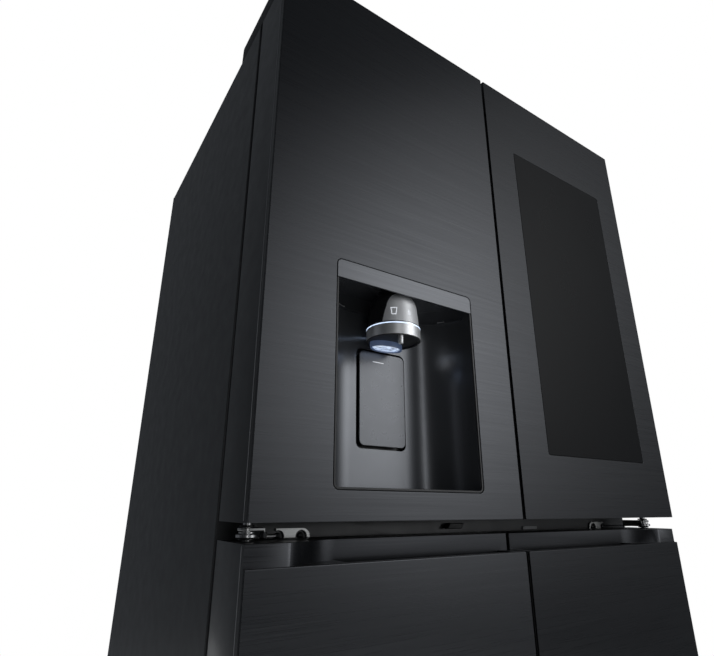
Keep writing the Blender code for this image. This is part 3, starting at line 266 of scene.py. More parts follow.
def spangled(name, colour):
    """Hot dipped zinc: flat crystals of slightly different shades."""
    finish = Finish(name, colour, 0.42, 0.85)
    place = finish.nodes.new("ShaderNodeTexCoord")
    cells = finish.nodes.new("ShaderNodeTexVoronoi")
    cells.inputs["Scale"].default_value = 95.0
    finish.links.new(place.outputs["Object"], cells.inputs["Vector"])
    split = finish.nodes.new("ShaderNodeSeparateColor")
    finish.links.new(cells.outputs["Color"], split.inputs["Color"])
    finish.tint(split.outputs["Red"], 0.93, 1.06, 0.0, 1.0)
    finish.shine(split.outputs["Green"], 0.40, 0.47)
    finish.relief(finish.noise(500), 0.00001)
    return finish.material


def glassy(name, colour, roughness, transmission, **sockets):
    """Clear glass or clear moulding, with faint wiping marks."""
    finish = Finish(name, colour, roughness, Transmission_Weight=transmission, IOR=1.48, **sockets)
    finish.shine(finish.noise(14, (1, 1, 0.4), detail=6), roughness, roughness + 0.05)
    return finish.material


def lit(name, colour, strength, body=(0.9, 0.95, 1.0)):
    """A lit lens, with a slightly uneven glow."""
    finish = Finish(name, body, 0.25)
    finish.set("Emission Color", (*tuple(colour)[:3], 1.0))
    level = finish.spread(finish.noise(90, detail=2), strength * 0.85, strength * 1.15)
    finish.links.new(level, finish.shader.inputs["Emission Strength"])
    return finish.material


class Finishes:
    """Makes each finish once, when a piece first asks for it."""

    made = {}

    makers = {
        "steel": lambda: brushed(
            "black_stainless", colours().steel, 0.30, sizes().grain, "X", 1.0, 0.0000016, 0.04,
            Anisotropic=0.45,
        ),
        "trim_steel": lambda: brushed(
            "black_stainless_trim", [part * 1.5 for part in colours().steel], 0.30, sizes().grain, "X", 1.0,
            0.0000010, 0.03,
        ),
        "paint": lambda: painted("dark_enamel", colours().side_paint, 0.42),
        # Right doors: the front steel darkened to 0.70, a painted shade that dims their fronts.
        "steel_painted_shade": lambda: brushed(
            "black_stainless_painted_shade", [part * 0.70 for part in colours().steel], 0.30, sizes().grain, "X", 1.0,
            0.0000016, 0.04, Anisotropic=0.45,
        ),
        # A bright steel for the bead down each door's side: a painted highlight on the door's edge.
        "seam": lambda: brushed("highlight_bead_steel", (0.46, 0.465, 0.48), 0.34, 0.0009, "Z", 1.0, 0.000001, 0.05),
        "edge": lambda: painted("door_edge", [part * 1.1 for part in colours().side_paint], 0.38),
        "window": lambda: window_glass(),
        "recess": lambda: moulded(
            "recess_moulding", colours().recess, 0.26, 1500, 0.000002, 0.04, Metallic=0.68
        ),
        # The paddle: the recess moulding darkened to 0.82, a painted shade for the head's shadow on it.
        "paddle": lambda: moulded(
            "paddle_painted_shade", [part * 0.82 for part in colours().recess], 0.28, 1500, 0.0000005, 0.04,
            Metallic=0.68,
        ),
        "band": lambda: brushed(
            "pocket_band", (0.029, 0.0300, 0.0325), 0.30, sizes().grain, "X", 1.0, 0.000001, 0.04
        ),
        "head": lambda: brushed(
            "head_satin", (0.88, 0.885, 0.90), 0.40, 0.0008, "Z", 0.35, 0.000001, 0.02
        ),
        "ring": lambda: brushed("ring_silver", (0.95, 0.955, 0.965), 0.42, 0.0007, "X", 0.85, 0.000001, 0.03),
        "ring_under": lambda: moulded("ring_underside", (0.020, 0.0205, 0.022), 0.40, 1400, 0.000006),
        "rim": lambda: moulded("recess_rim_black", (0.010, 0.010, 0.011), 0.34, 1400, 0.000004),
        # The signs glow though they are no lamps: painted light.
        "icon": lambda: lit("icon_painted_glow", (0.92, 0.95, 1.0), 0.50),
        "zinc": lambda: brushed("zinc_plate", (0.62, 0.62, 0.61), 0.30, 0.0010, "X", 1.0, 0.000008, 0.12),
        "washer": lambda: brushed("turned_zinc", (0.74, 0.74, 0.74), 0.28, 0.0006, "Z", 1.0, 0.000006, 0.14),
        "screw": lambda: brushed("black_screw", (0.035, 0.035, 0.037), 0.34, 0.0005, "X", 0.9, 0.000004, 0.1),
        "galvanised": lambda: spangled("galvanised_sheet", (0.46, 0.47, 0.48)),
        "liner": lambda: moulded("liner_white", colours().liner, 0.36, 700, 0.000012),
        "tray": lambda: glassy("clear_moulding", (0.86, 0.92, 0.95), 0.06, 0.86),
        "frost": lambda: glassy("frosted_moulding", (0.84, 0.89, 0.92), 0.30, 0.55),
        "shelf": lambda: glassy("shelf_glass", (0.86, 0.94, 0.92), 0.02, 0.95),
        "rubber": lambda: moulded("gasket_rubber", (0.045, 0.045, 0.047), 0.62, 600, 0.00003),
        "plastic": lambda: moulded("black_moulding", (0.018, 0.018, 0.019), 0.46, 800, 0.00003),
        "enamel": lambda: painted("black_enamel", (0.012, 0.012, 0.013), 0.30, 0.0),
        "cap": lambda: moulded("cover_cap", (0.50, 0.51, 0.52), 0.45, 900, 0.00001),
        "silver_trim": lambda: brushed(
            "satin_trim", (0.60, 0.61, 0.62), 0.30, 0.0009, "X", 0.9, 0.000003, 0.05
        ),
        "copper": lambda: brushed("copper_tube", (0.70, 0.33, 0.18), 0.30, 0.0008, "Z", 1.0, 0.000004, 0.12),
        "foam": lambda: moulded("rigid_foam", (0.72, 0.66, 0.46), 0.85, 350, 0.0004),
        "outlet": lambda: lit("outlet_clear", (0.24, 0.34, 0.62), 0.13, (0.06, 0.08, 0.13)),
        "lens": lambda: lens_light(),
        "line": lambda: lit("ring_light", (0.62, 0.76, 1.0), 1.1),
        "lamp": lambda: lit("compartment_light", (1.0, 0.97, 0.92), 0.6, (0.9, 0.9, 0.88)),
    }

    @classmethod
    def get(cls, name):
        if name not in cls.made:
            cls.made[name] = cls.makers[name]()
        return cls.made[name]


def lens_light():
    """The outlet's lens: near white in the middle and blue round its edge, with an uneven glow."""
    finish = Finish("outlet_light", (0.30, 0.36, 0.48), 0.10, Coat_Weight=1.0)
    facing = finish.nodes.new("ShaderNodeLayerWeight")
    facing.inputs["Blend"].default_value = 0.35
    ramp = finish.nodes.new("ShaderNodeValToRGB")
    ramp.color_ramp.elements[0].color = (0.85, 0.92, 1.0, 1.0)
    ramp.color_ramp.elements[1].color = (*tuple(colours().light), 1.0)
    finish.links.new(facing.outputs["Facing"], ramp.inputs["Fac"])
    finish.links.new(ramp.outputs["Color"], finish.shader.inputs["Emission Color"])
    level = finish.spread(finish.noise(150, (1, 1, 1), detail=3), 0.30, 1.25, 0.35, 0.65)
    finish.links.new(level, finish.shader.inputs["Emission Strength"])
    return finish.material


def window_glass():
    """Dark mirror glass over the window, with soft wiping marks."""
    finish = Finish("window_glass", (0.006, 0.0063, 0.007), 0.30)
    finish.set("Specular IOR Level", 0.09)
    finish.shine(finish.noise(5, (1, 1, 0.5), detail=5), 0.26, 0.34)
    finish.tint(finish.noise(3, detail=2), 0.9, 1.15)
    return finish.material


# ---------------------------------------------------------------- shapes
def new_object(name, builder):
    mesh = bpy.data.meshes.new(name)
    builder.to_mesh(mesh)
    builder.free()
    obj = bpy.data.objects.new(name, mesh)
    bpy.context.scene.collection.objects.link(obj)
    return obj


def put(obj, body, slot, finish, *replaced):
    """Finishes a piece: its material, the body it rides on and the solids it stands for. The slot is not
    used.
    """
    obj.data.materials.append(Finishes.get(finish))
    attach(obj, body)
    if replaced:
        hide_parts(*replaced)
    return obj


def arc(centre, radius, start, end, steps):
    """Points on an arc, from one angle to another in degrees, both ends included."""
    angles = [radians(start + (end - start) * step / steps) for step in range(steps + 1)]
    return [(centre[0] + radius * cos(angle), centre[1] + radius * sin(angle)) for angle in angles]


def round_rect(a, b, radius, steps=6):
    """A rectangle with round corners. The radius is one number, or one for each corner, from the top right
    one anticlockwise."""
    radii = radius if isinstance(radius, (tuple, list)) else (radius,) * 4
    low_a, high_a, low_b, high_b = min(a), max(a), min(b), max(b)
    corners = ((high_a, high_b, -1, -1), (low_a, high_b, 1, -1), (low_a, low_b, 1, 1), (high_a, low_b, -1, 1))
    points = []
    for quarter, (edge_a, edge_b, side_a, side_b) in enumerate(corners):
        size = radii[quarter]
        if size < 1e-6:
            points.append((edge_a, edge_b))
            continue
        centre = (edge_a + side_a * size, edge_b + side_b * size)
        points += arc(centre, size, quarter * 90, quarter * 90 + 90, steps)
    return points


AXES = {
    "X": lambda a, b, c: Vector((c, a, b)),
    "Y": lambda a, b, c: Vector((a, c, b)),
    "Z": lambda a, b, c: Vector((a, b, c)),
}


def plate(name, outline, along, span, holes=()):
    """A flat plate: an outline with holes, pushed along an axis. The outline's two numbers are the other
    axes, in X, Y, Z order."""
    place = AXES[along]
    near, far = min(span), max(span)
    builder = bmesh.new()
    edges = []
    for loop in (outline, *holes):
        corners = [builder.verts.new(place(a, b, near)) for a, b in loop]
        edges += [builder.edges.new(pair) for pair in zip(corners, corners[1:] + corners[:1])]
    if holes:
        bmesh.ops.triangle_fill(builder, use_beauty=True, edges=edges)
    else:
        builder.faces.new([edge.verts[0] for edge in edges])
    bmesh.ops.dissolve_limit(builder, angle_limit=radians(1), verts=builder.verts, edges=builder.edges)
    pushed = bmesh.ops.extrude_face_region(builder, geom=list(builder.faces))
    moved = [item for item in pushed["geom"] if isinstance(item, bmesh.types.BMVert)]
    bmesh.ops.translate(builder, vec=place(0, 0, far) - place(0, 0, near), verts=moved)
    bmesh.ops.recalc_face_normals(builder, faces=builder.faces)
    return new_object(name, builder)


def block(name, x, y, z, radius=0.0, along="Z"):
    """A box, with its edges along one axis rounded."""
    spans = {"X": (y, z, x), "Y": (x, z, y), "Z": (x, y, z)}[along]
    return plate(name, round_rect(spans[0], spans[1], radius), along, spans[2])


def lathe(name, profile, centre, along="Z", sides=64):
    """A turned piece: (radius, height) points that start and end on the axis."""
    builder = bmesh.new()
    turn = {
        "Z": Matrix.Identity(3),
        "Y": Matrix.Rotation(radians(-90), 3, "X"),
        "X": Matrix.Rotation(radians(90), 3, "Y"),
    }[along]
    rings = []
    for radius, height in profile:
        if radius < 1e-6:
            rings.append([builder.verts.new(turn @ Vector((0, 0, height)) + Vector(centre))])
            continue
        ring = []
        for side in range(sides):
            angle = 2 * pi * side / sides
            place = Vector((radius * cos(angle), radius * sin(angle), height))
            ring.append(builder.verts.new(turn @ place + Vector(centre)))
        rings.append(ring)
    for lower, upper in zip(rings, rings[1:]):
        for side in range(sides):
            after = (side + 1) % sides
            quad = [lower[side % len(lower)], lower[after % len(lower)]]
            quad += [upper[after % len(upper)], upper[side % len(upper)]]
            corners = list(dict.fromkeys(quad))
            if len(corners) > 2:
                builder.faces.new(corners)
    bmesh.ops.recalc_face_normals(builder, faces=builder.faces)
    return new_object(name, builder)


def rod(radius, length):
    """A plain round bar's profile."""
    return [(0, 0), (radius, 0), (radius, length), (0, length)]


def back_screw(name, profile, place):
    """A low zinc head, on a face that looks back."""
    head = lathe(name, profile, place, "Y", 24)
    return put(smooth(head, 40), "cabinet", "zinc_steel", "zinc")


def hoop(name, section, centre, sides=96):
    """A closed section of (radius, height) points turned right round an upright axis."""
    builder = bmesh.new()
    rings = []
    for side in range(sides):
        angle = 2 * pi * side / sides
        spots = [Vector((radius * cos(angle), radius * sin(angle), height)) for radius, height in section]
        rings.append([builder.verts.new(Vector(centre) + spot) for spot in spots])
    for side, ring in enumerate(rings):
        after = rings[(side + 1) % sides]
        for corner in range(len(section)):
            onward = (corner + 1) % len(section)
            builder.faces.new((ring[corner], ring[onward], after[onward], after[corner]))
    bmesh.ops.recalc_face_normals(builder, faces=builder.faces)
    return smooth(new_object(name, builder), 30)


def tube(name, points, radius, sides=12):
    """A round bar along a line of points, with closed ends."""
    builder = bmesh.new()
    points = [Vector(point) for point in points]
    rings = []
    normal = None
    for number, point in enumerate(points):
        before = points[max(number - 1, 0)]
        after = points[min(number + 1, len(points) - 1)]
        along = (after - before).normalized()
        if normal is None:
            normal = along.orthogonal().normalized()
        normal = (normal - along * normal.dot(along)).normalized()
        across = along.cross(normal)
        turns = [2 * pi * side / sides for side in range(sides)]
        rings.append(
            [
                builder.verts.new(
                    point + normal * radius * cos(turn) + across * radius * sin(turn)
                ) for turn in turns
            ]
        )
    for lower, upper in zip(rings, rings[1:]):
        for side in range(sides):
            after = (side + 1) % sides
            builder.faces.new((lower[side], lower[after], upper[after], upper[side]))
    builder.faces.new(list(reversed(rings[0])))
    builder.faces.new(rings[-1])
    bmesh.ops.recalc_face_normals(builder, faces=builder.faces)
    return new_object(name, builder)


def bent_path(corners, radius, steps=6):
    """A line through corners, with each corner rounded."""
    corners = [Vector(corner) for corner in corners]
    points = [corners[0]]
    for before, corner, after in zip(corners, corners[1:], corners[2:]):
        back = (before - corner).normalized() * radius
        ahead = (after - corner).normalized() * radius
        for step in range(steps + 1):
            share = step / steps
            points.append(corner + back * (1 - share) ** 2 + ahead * share ** 2)
    return points + [corners[-1]]


def join(obj, *others):
    """Adds other objects' meshes to a piece as further parts of it."""
    builder = bmesh.new()
    for source in (obj, *others):
        builder.from_mesh(source.data)
    builder.to_mesh(obj.data)
    builder.free()
    for source in others:
        bpy.data.objects.remove(source, do_unlink=True)
    return obj


def soften(obj, width, segments=3, angle=35):
    """Rounds a piece's sharp edges."""
    obj.data.shade_smooth()
    step = obj.modifiers.new("round_edges", "BEVEL")
    step.width = width
    step.segments = segments
    step.limit_method = "ANGLE"
    step.angle_limit = radians(angle)
    step.use_clamp_overlap = True
    step.harden_normals = True
    return obj


def smooth(obj, angle=30):
    obj.data.shade_smooth()
    obj.data.set_sharp_from_angle(angle=radians(angle))
    return obj


def carve(obj, *tools):
    """Cuts tools out of a piece, and removes them."""
    for tool in tools:
        step = obj.modifiers.new("cut", "BOOLEAN")
        step.operation = "DIFFERENCE"
        step.solver = "EXACT"
        step.object = tool
        bpy.context.view_layer.update()
        cut = bpy.data.meshes.new_from_object(obj.evaluated_get(bpy.context.evaluated_depsgraph_get()))
        obj.modifiers.remove(step)
        old = obj.data
        obj.data = cut
        bpy.data.meshes.remove(old)
        bpy.data.objects.remove(tool, do_unlink=True)
    return obj


def slice_off(obj, place, beyond):
    """Cuts a piece along a plane, drops the part beyond it and closes the cut."""
    builder = bmesh.new()
    builder.from_mesh(obj.data)
    everything = list(builder.verts) + list(builder.edges) + list(builder.faces)
    cut = bmesh.ops.bisect_plane(
        builder, geom=everything, dist=0.000001, plane_co=place, plane_no=beyond, clear_outer=True
    )
    rim = [item for item in cut["geom_cut"] if isinstance(item, bmesh.types.BMEdge)]
    bmesh.ops.holes_fill(builder, edges=rim, sides=0)
    bmesh.ops.recalc_face_normals(builder, faces=builder.faces)
    builder.to_mesh(obj.data)
    builder.free()
    return obj


def stack(name, a, b, radius, profile, along="Z", ring=False, steps=6):
    """Round cornered rectangles on top of each other. The profile lists, for each, how far it is inset from
    a and b, and its level. A ring joins the last one to the first; otherwise both ends are closed."""
    place = AXES[along]
    builder = bmesh.new()
    loops = []
    for inset, level in profile:
        outline = round_rect(widen(a, -inset), widen(b, -inset), max(radius - inset, 0.0002), steps)
        loops.append([builder.verts.new(place(x, y, level)) for x, y in outline])
    pairs = list(zip(loops, loops[1:]))
    if ring:
        pairs.append((loops[-1], loops[0]))
    for lower, upper in pairs:
        for corner in range(len(lower)):
            after = (corner + 1) % len(lower)
            builder.faces.new((lower[corner], lower[after], upper[after], upper[corner]))
    if not ring:
        builder.faces.new(list(reversed(loops[0])))
        builder.faces.new(loops[-1])
    bmesh.ops.recalc_face_normals(builder, faces=builder.faces)
    return smooth(new_object(name, builder), 35)


def tray(name, x, y, z, wall, radius=0.010, fillet=0.006, lip=0.0, lean=0.0):
    """An open-topped tray with rounded corners, a rounded floor, a thickened rim and sides that lean out."""
    low, high = min(z), max(z)
    turns = [radians(90 * step / 5) for step in range(6)]
    outer = [(lean + fillet * (1 - sin(turn)), low + fillet * (1 - cos(turn))) for turn in turns]
    rim = [(0.0, high - 0.004), (-lip, high - 0.0034), (-lip, high - 0.0004), (0.0004 - lip, high)]
    inside = fillet - wall / 2
    inner = [
        (
            lean + wall + inside * (1 - sin(turn)), low + wall + inside * (1 - cos(turn))
        ) for turn in reversed(turns)
    ]
    over = [(wall - 0.0004, high), (wall, high - 0.0004)]
    return stack(name, x, y, radius, outer + rim + over + inner, "Z", steps=6)


def recast(node, name, body, slot, finish, fine=0.0010, broad=None, inside=(), ease=None):
    """A piece with a solid's own shape and rounded edges. Edges that the test broad picks get its wider
    radius, and faces that a test in inside picks get its finish: all are pairs (value, test). Ease moves
    each corner first."""
    builder = bmesh.new()
    builder.from_mesh(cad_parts[node].data)
    for corner in builder.verts:
        if ease:
            corner.co = ease(corner.co)
    bmesh.ops.remove_doubles(builder, verts=builder.verts, dist=0.00002)
    bmesh.ops.dissolve_limit(builder, angle_limit=radians(1), verts=builder.verts, edges=builder.edges)
    weight = builder.edges.layers.float.new("bevel_weight_edge")
    width, wide = broad if broad else (fine, None)
    for edge in builder.edges:
        if len(edge.link_faces) != 2 or edge.calc_face_angle(0.0) < radians(35):
            continue
        ends = [corner.co for corner in edge.verts]
        edge[weight] = 1.0 if wide and wide(*ends) else fine / width
    for number, (_, chosen) in enumerate(inside):
        for face in builder.faces:
            if chosen(face.calc_center_median(), face.normal):
                face.material_index = number + 1
    piece = new_object(name, builder)
    piece.data.shade_smooth()
    step = piece.modifiers.new("round_edges", "BEVEL")
    step.width, step.segments, step.limit_method = width, 3, "WEIGHT"
    step.harden_normals = True
    put(piece, body, slot, finish, node)
    for other, _ in inside:
        piece.data.materials.append(Finishes.get(other))
    return piece


def dress(node, finish, edge=0.0):
    """Gives a solid that is shown as it is its finish, and rounds its edges."""
    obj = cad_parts[node]
    obj.data.materials.clear()
    obj.data.materials.append(Finishes.get(finish))
    if edge:
        weld = obj.modifiers.new("weld", "WELD")
        weld.merge_threshold = 0.00001
        step = obj.modifiers.new("round_edges", "BEVEL")
        step.width = edge
        step.segments = 2
        step.limit_method = "ANGLE"
        step.angle_limit = radians(40)
    return obj


# ---------------------------------------------------------------- stage
CAMERA_PLACE = (-0.6702, -0.9177, 0.9196)
CAMERA_YAW, CAMERA_PITCH, CAMERA_ROLL = 32.987, 18.693, 0.263
CAMERA_SHIFT = 0.0168
LIGHTS = (  # name, place, target, size, power, and over what distance it fades across and up
    ("key_panel", (1.656, -2.583, 2.015), (-0.2, -0.37, 1.2), (3.0, 4.0), 102, (0.62, 0.95)),
    ("strip_panel", (-0.95, -3.1, 1.3), (-0.15, -0.37, 1.1), (0.30, 2.6), 9, (0.08, 1.2)),
    ("rear_panel", (1.5, 3.2, 2.6), (0.0, 0.3, 1.0), (2.4, 2.4), 60, (0.8, 0.8)),
)
WORLD_LIGHT = (0.024, 0.095)  # from the left front, and from the right and rear
FLOOR_LIGHT = 0.30
FLOOR_TOP, FLOOR_BOTTOM = -0.001, -0.02


class FRIDGE_OT_stage(bpy.types.Operator):
    """Makes the pale floor, the soft studio lights and the camera"""

    bl_idname = "fridge.stage"
    bl_label = "Stage"

    def execute(self, context):
        self.make_floor()
        self.make_world(context.scene)
        for light in LIGHTS:
            self.make_light(*light)
        self.make_camera(context.scene)
        return {"FINISHED"}

    def make_floor(self):
        radius = sizes().floor_radius
        profile = [(0, FLOOR_BOTTOM), (radius, FLOOR_BOTTOM), (radius, FLOOR_TOP), (0, FLOOR_TOP)]
        floor = lathe("studio_floor", profile, (0, 0, 0), sides=96)
        finish = Finish("studio_floor", (0.86, 0.86, 0.855), 0.6)
        finish.set("Emission Color", (0.96, 0.98, 1.0, 1.0)).set("Emission Strength", FLOOR_LIGHT)
        finish.tint(finish.noise(1.2, detail=3), 0.98, 1.02)
        finish.shine(finish.noise(20), 0.55, 0.68)
        floor.data.materials.append(finish.material)

    def make_world(self, scene):
        """White to the eye. As a light it is dimmer, and dimmest from the left front."""
        world = bpy.data.worlds.new("studio")
        world.use_nodes = True
        nodes, links = world.node_tree.nodes, world.node_tree.links
        nodes.clear()
        seen, light = nodes.new("ShaderNodeBackground"), nodes.new("ShaderNodeBackground")
        seen.inputs["Color"].default_value = (1, 1, 1, 1)
        seen.inputs["Strength"].default_value = 1.0
        light.inputs["Color"].default_value = (0.84, 0.91, 1.0, 1)
        place, split = nodes.new("ShaderNodeTexCoord"), nodes.new("ShaderNodeSeparateXYZ")
        rightwards, rearwards, level = (nodes.new("ShaderNodeMapRange") for _ in range(3))
        larger = nodes.new("ShaderNodeMath")
        larger.operation = "MAXIMUM"
        for step, start, end in ((rightwards, -0.15, 0.35), (rearwards, 0.0, 0.4)):
            step.inputs["From Min"].default_value, step.inputs["From Max"].default_value = start, end
        level.inputs["To Min"].default_value, level.inputs["To Max"].default_value = WORLD_LIGHT
        links.new(place.outputs["Generated"], split.inputs["Vector"])
        links.new(split.outputs["X"], rightwards.inputs["Value"])
        links.new(split.outputs["Y"], rearwards.inputs["Value"])
        links.new(rightwards.outputs["Result"], larger.inputs[0])
        links.new(rearwards.outputs["Result"], larger.inputs[1])
        links.new(larger.outputs["Value"], level.inputs["Value"])
        links.new(level.outputs["Result"], light.inputs["Strength"])
        path, mix = nodes.new("ShaderNodeLightPath"), nodes.new("ShaderNodeMixShader")
        out = nodes.new("ShaderNodeOutputWorld")
        links.new(path.outputs["Is Camera Ray"], mix.inputs["Fac"])
        links.new(light.outputs["Background"], mix.inputs[1])
        links.new(seen.outputs["Background"], mix.inputs[2])
        links.new(mix.outputs["Shader"], out.inputs["Surface"])
        scene.world = world
        scene.view_settings.view_transform = "Standard"

    def make_light(self, name, place, target, size, power, spread):
        """A panel that is brightest in its middle and fades out over a distance, across and up."""
        lamp = bpy.data.lights.new(name, "AREA")
        lamp.shape = "RECTANGLE"
        lamp.size, lamp.size_y = size
        lamp.energy = power
        lamp.color = (0.97, 0.985, 1.0)
        lamp.use_nodes = True
        nodes, links = lamp.node_tree.nodes, lamp.node_tree.links
        where = nodes.new("ShaderNodeNewGeometry")
        middle, scaled, square = (nodes.new("ShaderNodeVectorMath") for _ in range(3))
        middle.operation, scaled.operation, square.operation = "SUBTRACT", "MULTIPLY", "DOT_PRODUCT"
        middle.inputs[1].default_value = (0.5, 0.5, 0.0)
        scaled.inputs[1].default_value = (size[0] / spread[0], size[1] / spread[1], 0.0)
        halved, fade = nodes.new("ShaderNodeMath"), nodes.new("ShaderNodeMath")
        halved.operation, fade.operation = "MULTIPLY", "EXPONENT"
        halved.inputs[1].default_value = -0.5
        links.new(where.outputs["Parametric"], middle.inputs[0])
        links.new(middle.outputs["Vector"], scaled.inputs[0])
        links.new(scaled.outputs["Vector"], square.inputs[0])
        links.new(scaled.outputs["Vector"], square.inputs[1])
        links.new(square.outputs["Value"], halved.inputs[0])
        links.new(halved.outputs["Value"], fade.inputs[0])
        links.new(fade.outputs["Value"], nodes["Emission"].inputs["Strength"])
        obj = bpy.data.objects.new(name, lamp)
        obj.location = place
        obj.rotation_euler = (Vector(target) - Vector(place)).to_track_quat("-Z", "Y").to_euler()
        bpy.context.scene.collection.objects.link(obj)

    def make_camera(self, scene):
        yaw, pitch, roll = (radians(angle) for angle in (CAMERA_YAW, CAMERA_PITCH, CAMERA_ROLL))
        ahead = Vector((sin(yaw) * cos(pitch), cos(yaw) * cos(pitch), sin(pitch)))
        right = Vector((cos(yaw), -sin(yaw), 0.0))
        up = right.cross(ahead)
        right, up = right * cos(roll) + up * sin(roll), up * cos(roll) - right * sin(roll)
        data = bpy.data.cameras.new("studio_camera")
        data.sensor_width = 36.0
        data.sensor_fit = "HORIZONTAL"
        data.lens = sizes().lens
        data.shift_y = CAMERA_SHIFT
        data.clip_start = 0.02
        camera = bpy.data.objects.new("studio_camera", data)
        camera.matrix_world = Matrix((right, up, -ahead)).transposed().to_4x4()
        camera.location = CAMERA_PLACE
        scene.collection.objects.link(camera)
        scene.camera = camera


# ---------------------------------------------------------------- doors
DOORS = (  # body, front panel, side of the hinge
    ("upper_left_door", "upper_left_door_panel", -1),
    ("upper_right_door", "upper_right_door_panel", 1),
    ("lower_left_door", "lower_left_door_panel", -1),
    ("lower_right_door", "lower_right_door_panel", 1),
)
SIDES = (("left", -1), ("right", 1))
DISPENSER_RADIUS = 0.008
WINDOW_RADII = (0.004, 0.0036)  # of the opening, and of the pane in it
SEAM = 0.0006  # round the dispenser and the window
AXIS_DEPTH = 0.052  # of the axes that the doors turn on
EYE_INSET = 0.013  # of these axes from the middle hinges' outer ends


def axis_x(side):
    """The X of the axis that the doors on this side turn on."""
    hinge = Box("mid_hinge_left" if side < 0 else "mid_hinge_right")
    return hinge.x[0] + EYE_INSET if side < 0 else hinge.x[1] - EYE_INSET


class FRIDGE_OT_door_fronts(bpy.types.Operator):
    """Makes the brushed door fronts, with rolled edges and the dispenser's and window's openings"""

    bl_idname = "fridge.door_fronts"
    bl_label = "Door Fronts"

    def execute(self, context):
        for body, panel, side in DOORS:
            place = Box(panel)
            holes = []
            if body == "upper_left_door":
                recess = recess_box()
                hole = widen(recess.x, SEAM), widen(recess.z, SEAM)
                holes.append(round_rect(*hole, DISPENSER_RADIUS + SEAM, 10))
            if body == "upper_right_door":
                pane = Box("upper_right_door_glass")
                holes.append(round_rect(widen(pane.x, SEAM), widen(pane.z, SEAM), WINDOW_RADII[0], 6))
            front = plate(body + "_front", round_rect(place.x, place.z, 0.0012, 3), "Y", place.y, holes)
            # The right doors take the darker steel, which is painted shade.
            put(
                soften(front, sizes().edge, 4), body, "black_steel", "steel" if side < 0 else "steel_painted_shade",
                panel,
            )
            self.make_highlight_bead(body, side)
        pane = Box("upper_right_door_glass")
        glass = plate("window_pane", round_rect(pane.x, pane.z, WINDOW_RADII[1], 6), "Y", pane.y)
        put(soften(glass, 0.0006, 3), "upper_right_door", "black_glass", "window", "upper_right_door_glass")
        return {"FINISHED"}

    def make_highlight_bead(self, body, side):
        """A fine bright bead down the door's outer side, where its front cap ends: a painted highlight along
        that edge.
        """
        place = Box(body + "_body")
        edge = place.x[0] if side < 0 else place.x[1]
        bead = block(
            body + "_highlight_bead", about(edge, 0.0003), depths(0.0126, 0.0138), widen(place.z, -0.002),
            0.0002, "Z",
        )
        put(soften(bead, 0.00015, 2), body, "black_steel", "seam")


class FRIDGE_OT_door_bodies(bpy.types.Operator):
    """Makes the door bodies, dark outside with a pale moulded liner inside, and the hinge bushes"""

    bl_idname = "fridge.door_bodies"
    bl_label = "Door Bodies"

    GASKET_WIDTH = 0.02

    def execute(self, context):
        for body, _, side in DOORS:
            gasket = Box(body.replace("_door", "_gasket"))
            liner = gasket.y[0] - GAP
            front, waist = behind(0.006), behind(0.045)

            def is_liner(middle, normal):
                well = middle.y > behind(0.058) and abs(normal.y) < 0.5 and self.within(middle, gasket)
                return middle.y > liner - 0.0008 or well

            recast(
                body + "_body", body + "_shell", body, "door_core", "edge", 0.0012,
                (0.007, lambda a, b: min(a.y, b.y) > liner + 0.0005),
                (
                    ("liner", is_liner),
                    ("band", lambda middle, normal: front < middle.y < waist and normal.y < -0.2),
                    ("steel", lambda middle, normal: middle.y < front and normal.y < -0.2),
                ),
                self.lengthen if body.startswith("lower") else None,
            )
            self.make_bushes(body, side)
        return {"FINISHED"}

    def lengthen(self, corner):
        """Draws out the curve that runs into the finger pocket, along the band above the front panel."""
        start, end, shift, longer = 0.412, 0.366, 0.007, 0.082
        side = -1 if corner.x < 0 else 1
        across = abs(corner.x)
        in_band = corner.z > Box("lower_left_door_panel").z[1] - 0.001
        in_curve = end - 0.0005 <= across <= start + 0.0005
        if not (in_band and in_curve and behind(0.002) < corner.y < behind(0.040)):
            return corner
        share = max(0.0, (start - across) / (start - end))
        return Vector((side * (start - shift - longer * share ** 1.3), corner.y, corner.z))

    def within(self, place, gasket):
        """Whether a place lies inside the gasket's frame, as the walls of a well do."""
        across, up = widen(gasket.x, -self.GASKET_WIDTH), widen(gasket.z, -self.GASKET_WIDTH)
        return across[0] < place.x < across[1] and up[0] < place.z < up[1]

    def make_bushes(self, body, side):
        """Pale bushes that the hinge pins turn in, set into the ends of the door."""
        place = Box(body + "_body")
        lower = body.startswith("lower")
        level = place.z[1] if lower else place.z[0]
        rise = -0.0006 if lower else 0.0006
        profile = [
            (0.0056, -rise), (0.0098, -rise), (0.0098, 0.0), (0.0088, rise), (0.0062, rise),
            (0.0056, rise / 2),
        ]
        section = [(radius, -height) for radius, height in profile]
        bush = hoop(body + "_bush", section, (axis_x(side), behind(AXIS_DEPTH), level), 32)
        put(bush, body, "white_plastic", "plastic")


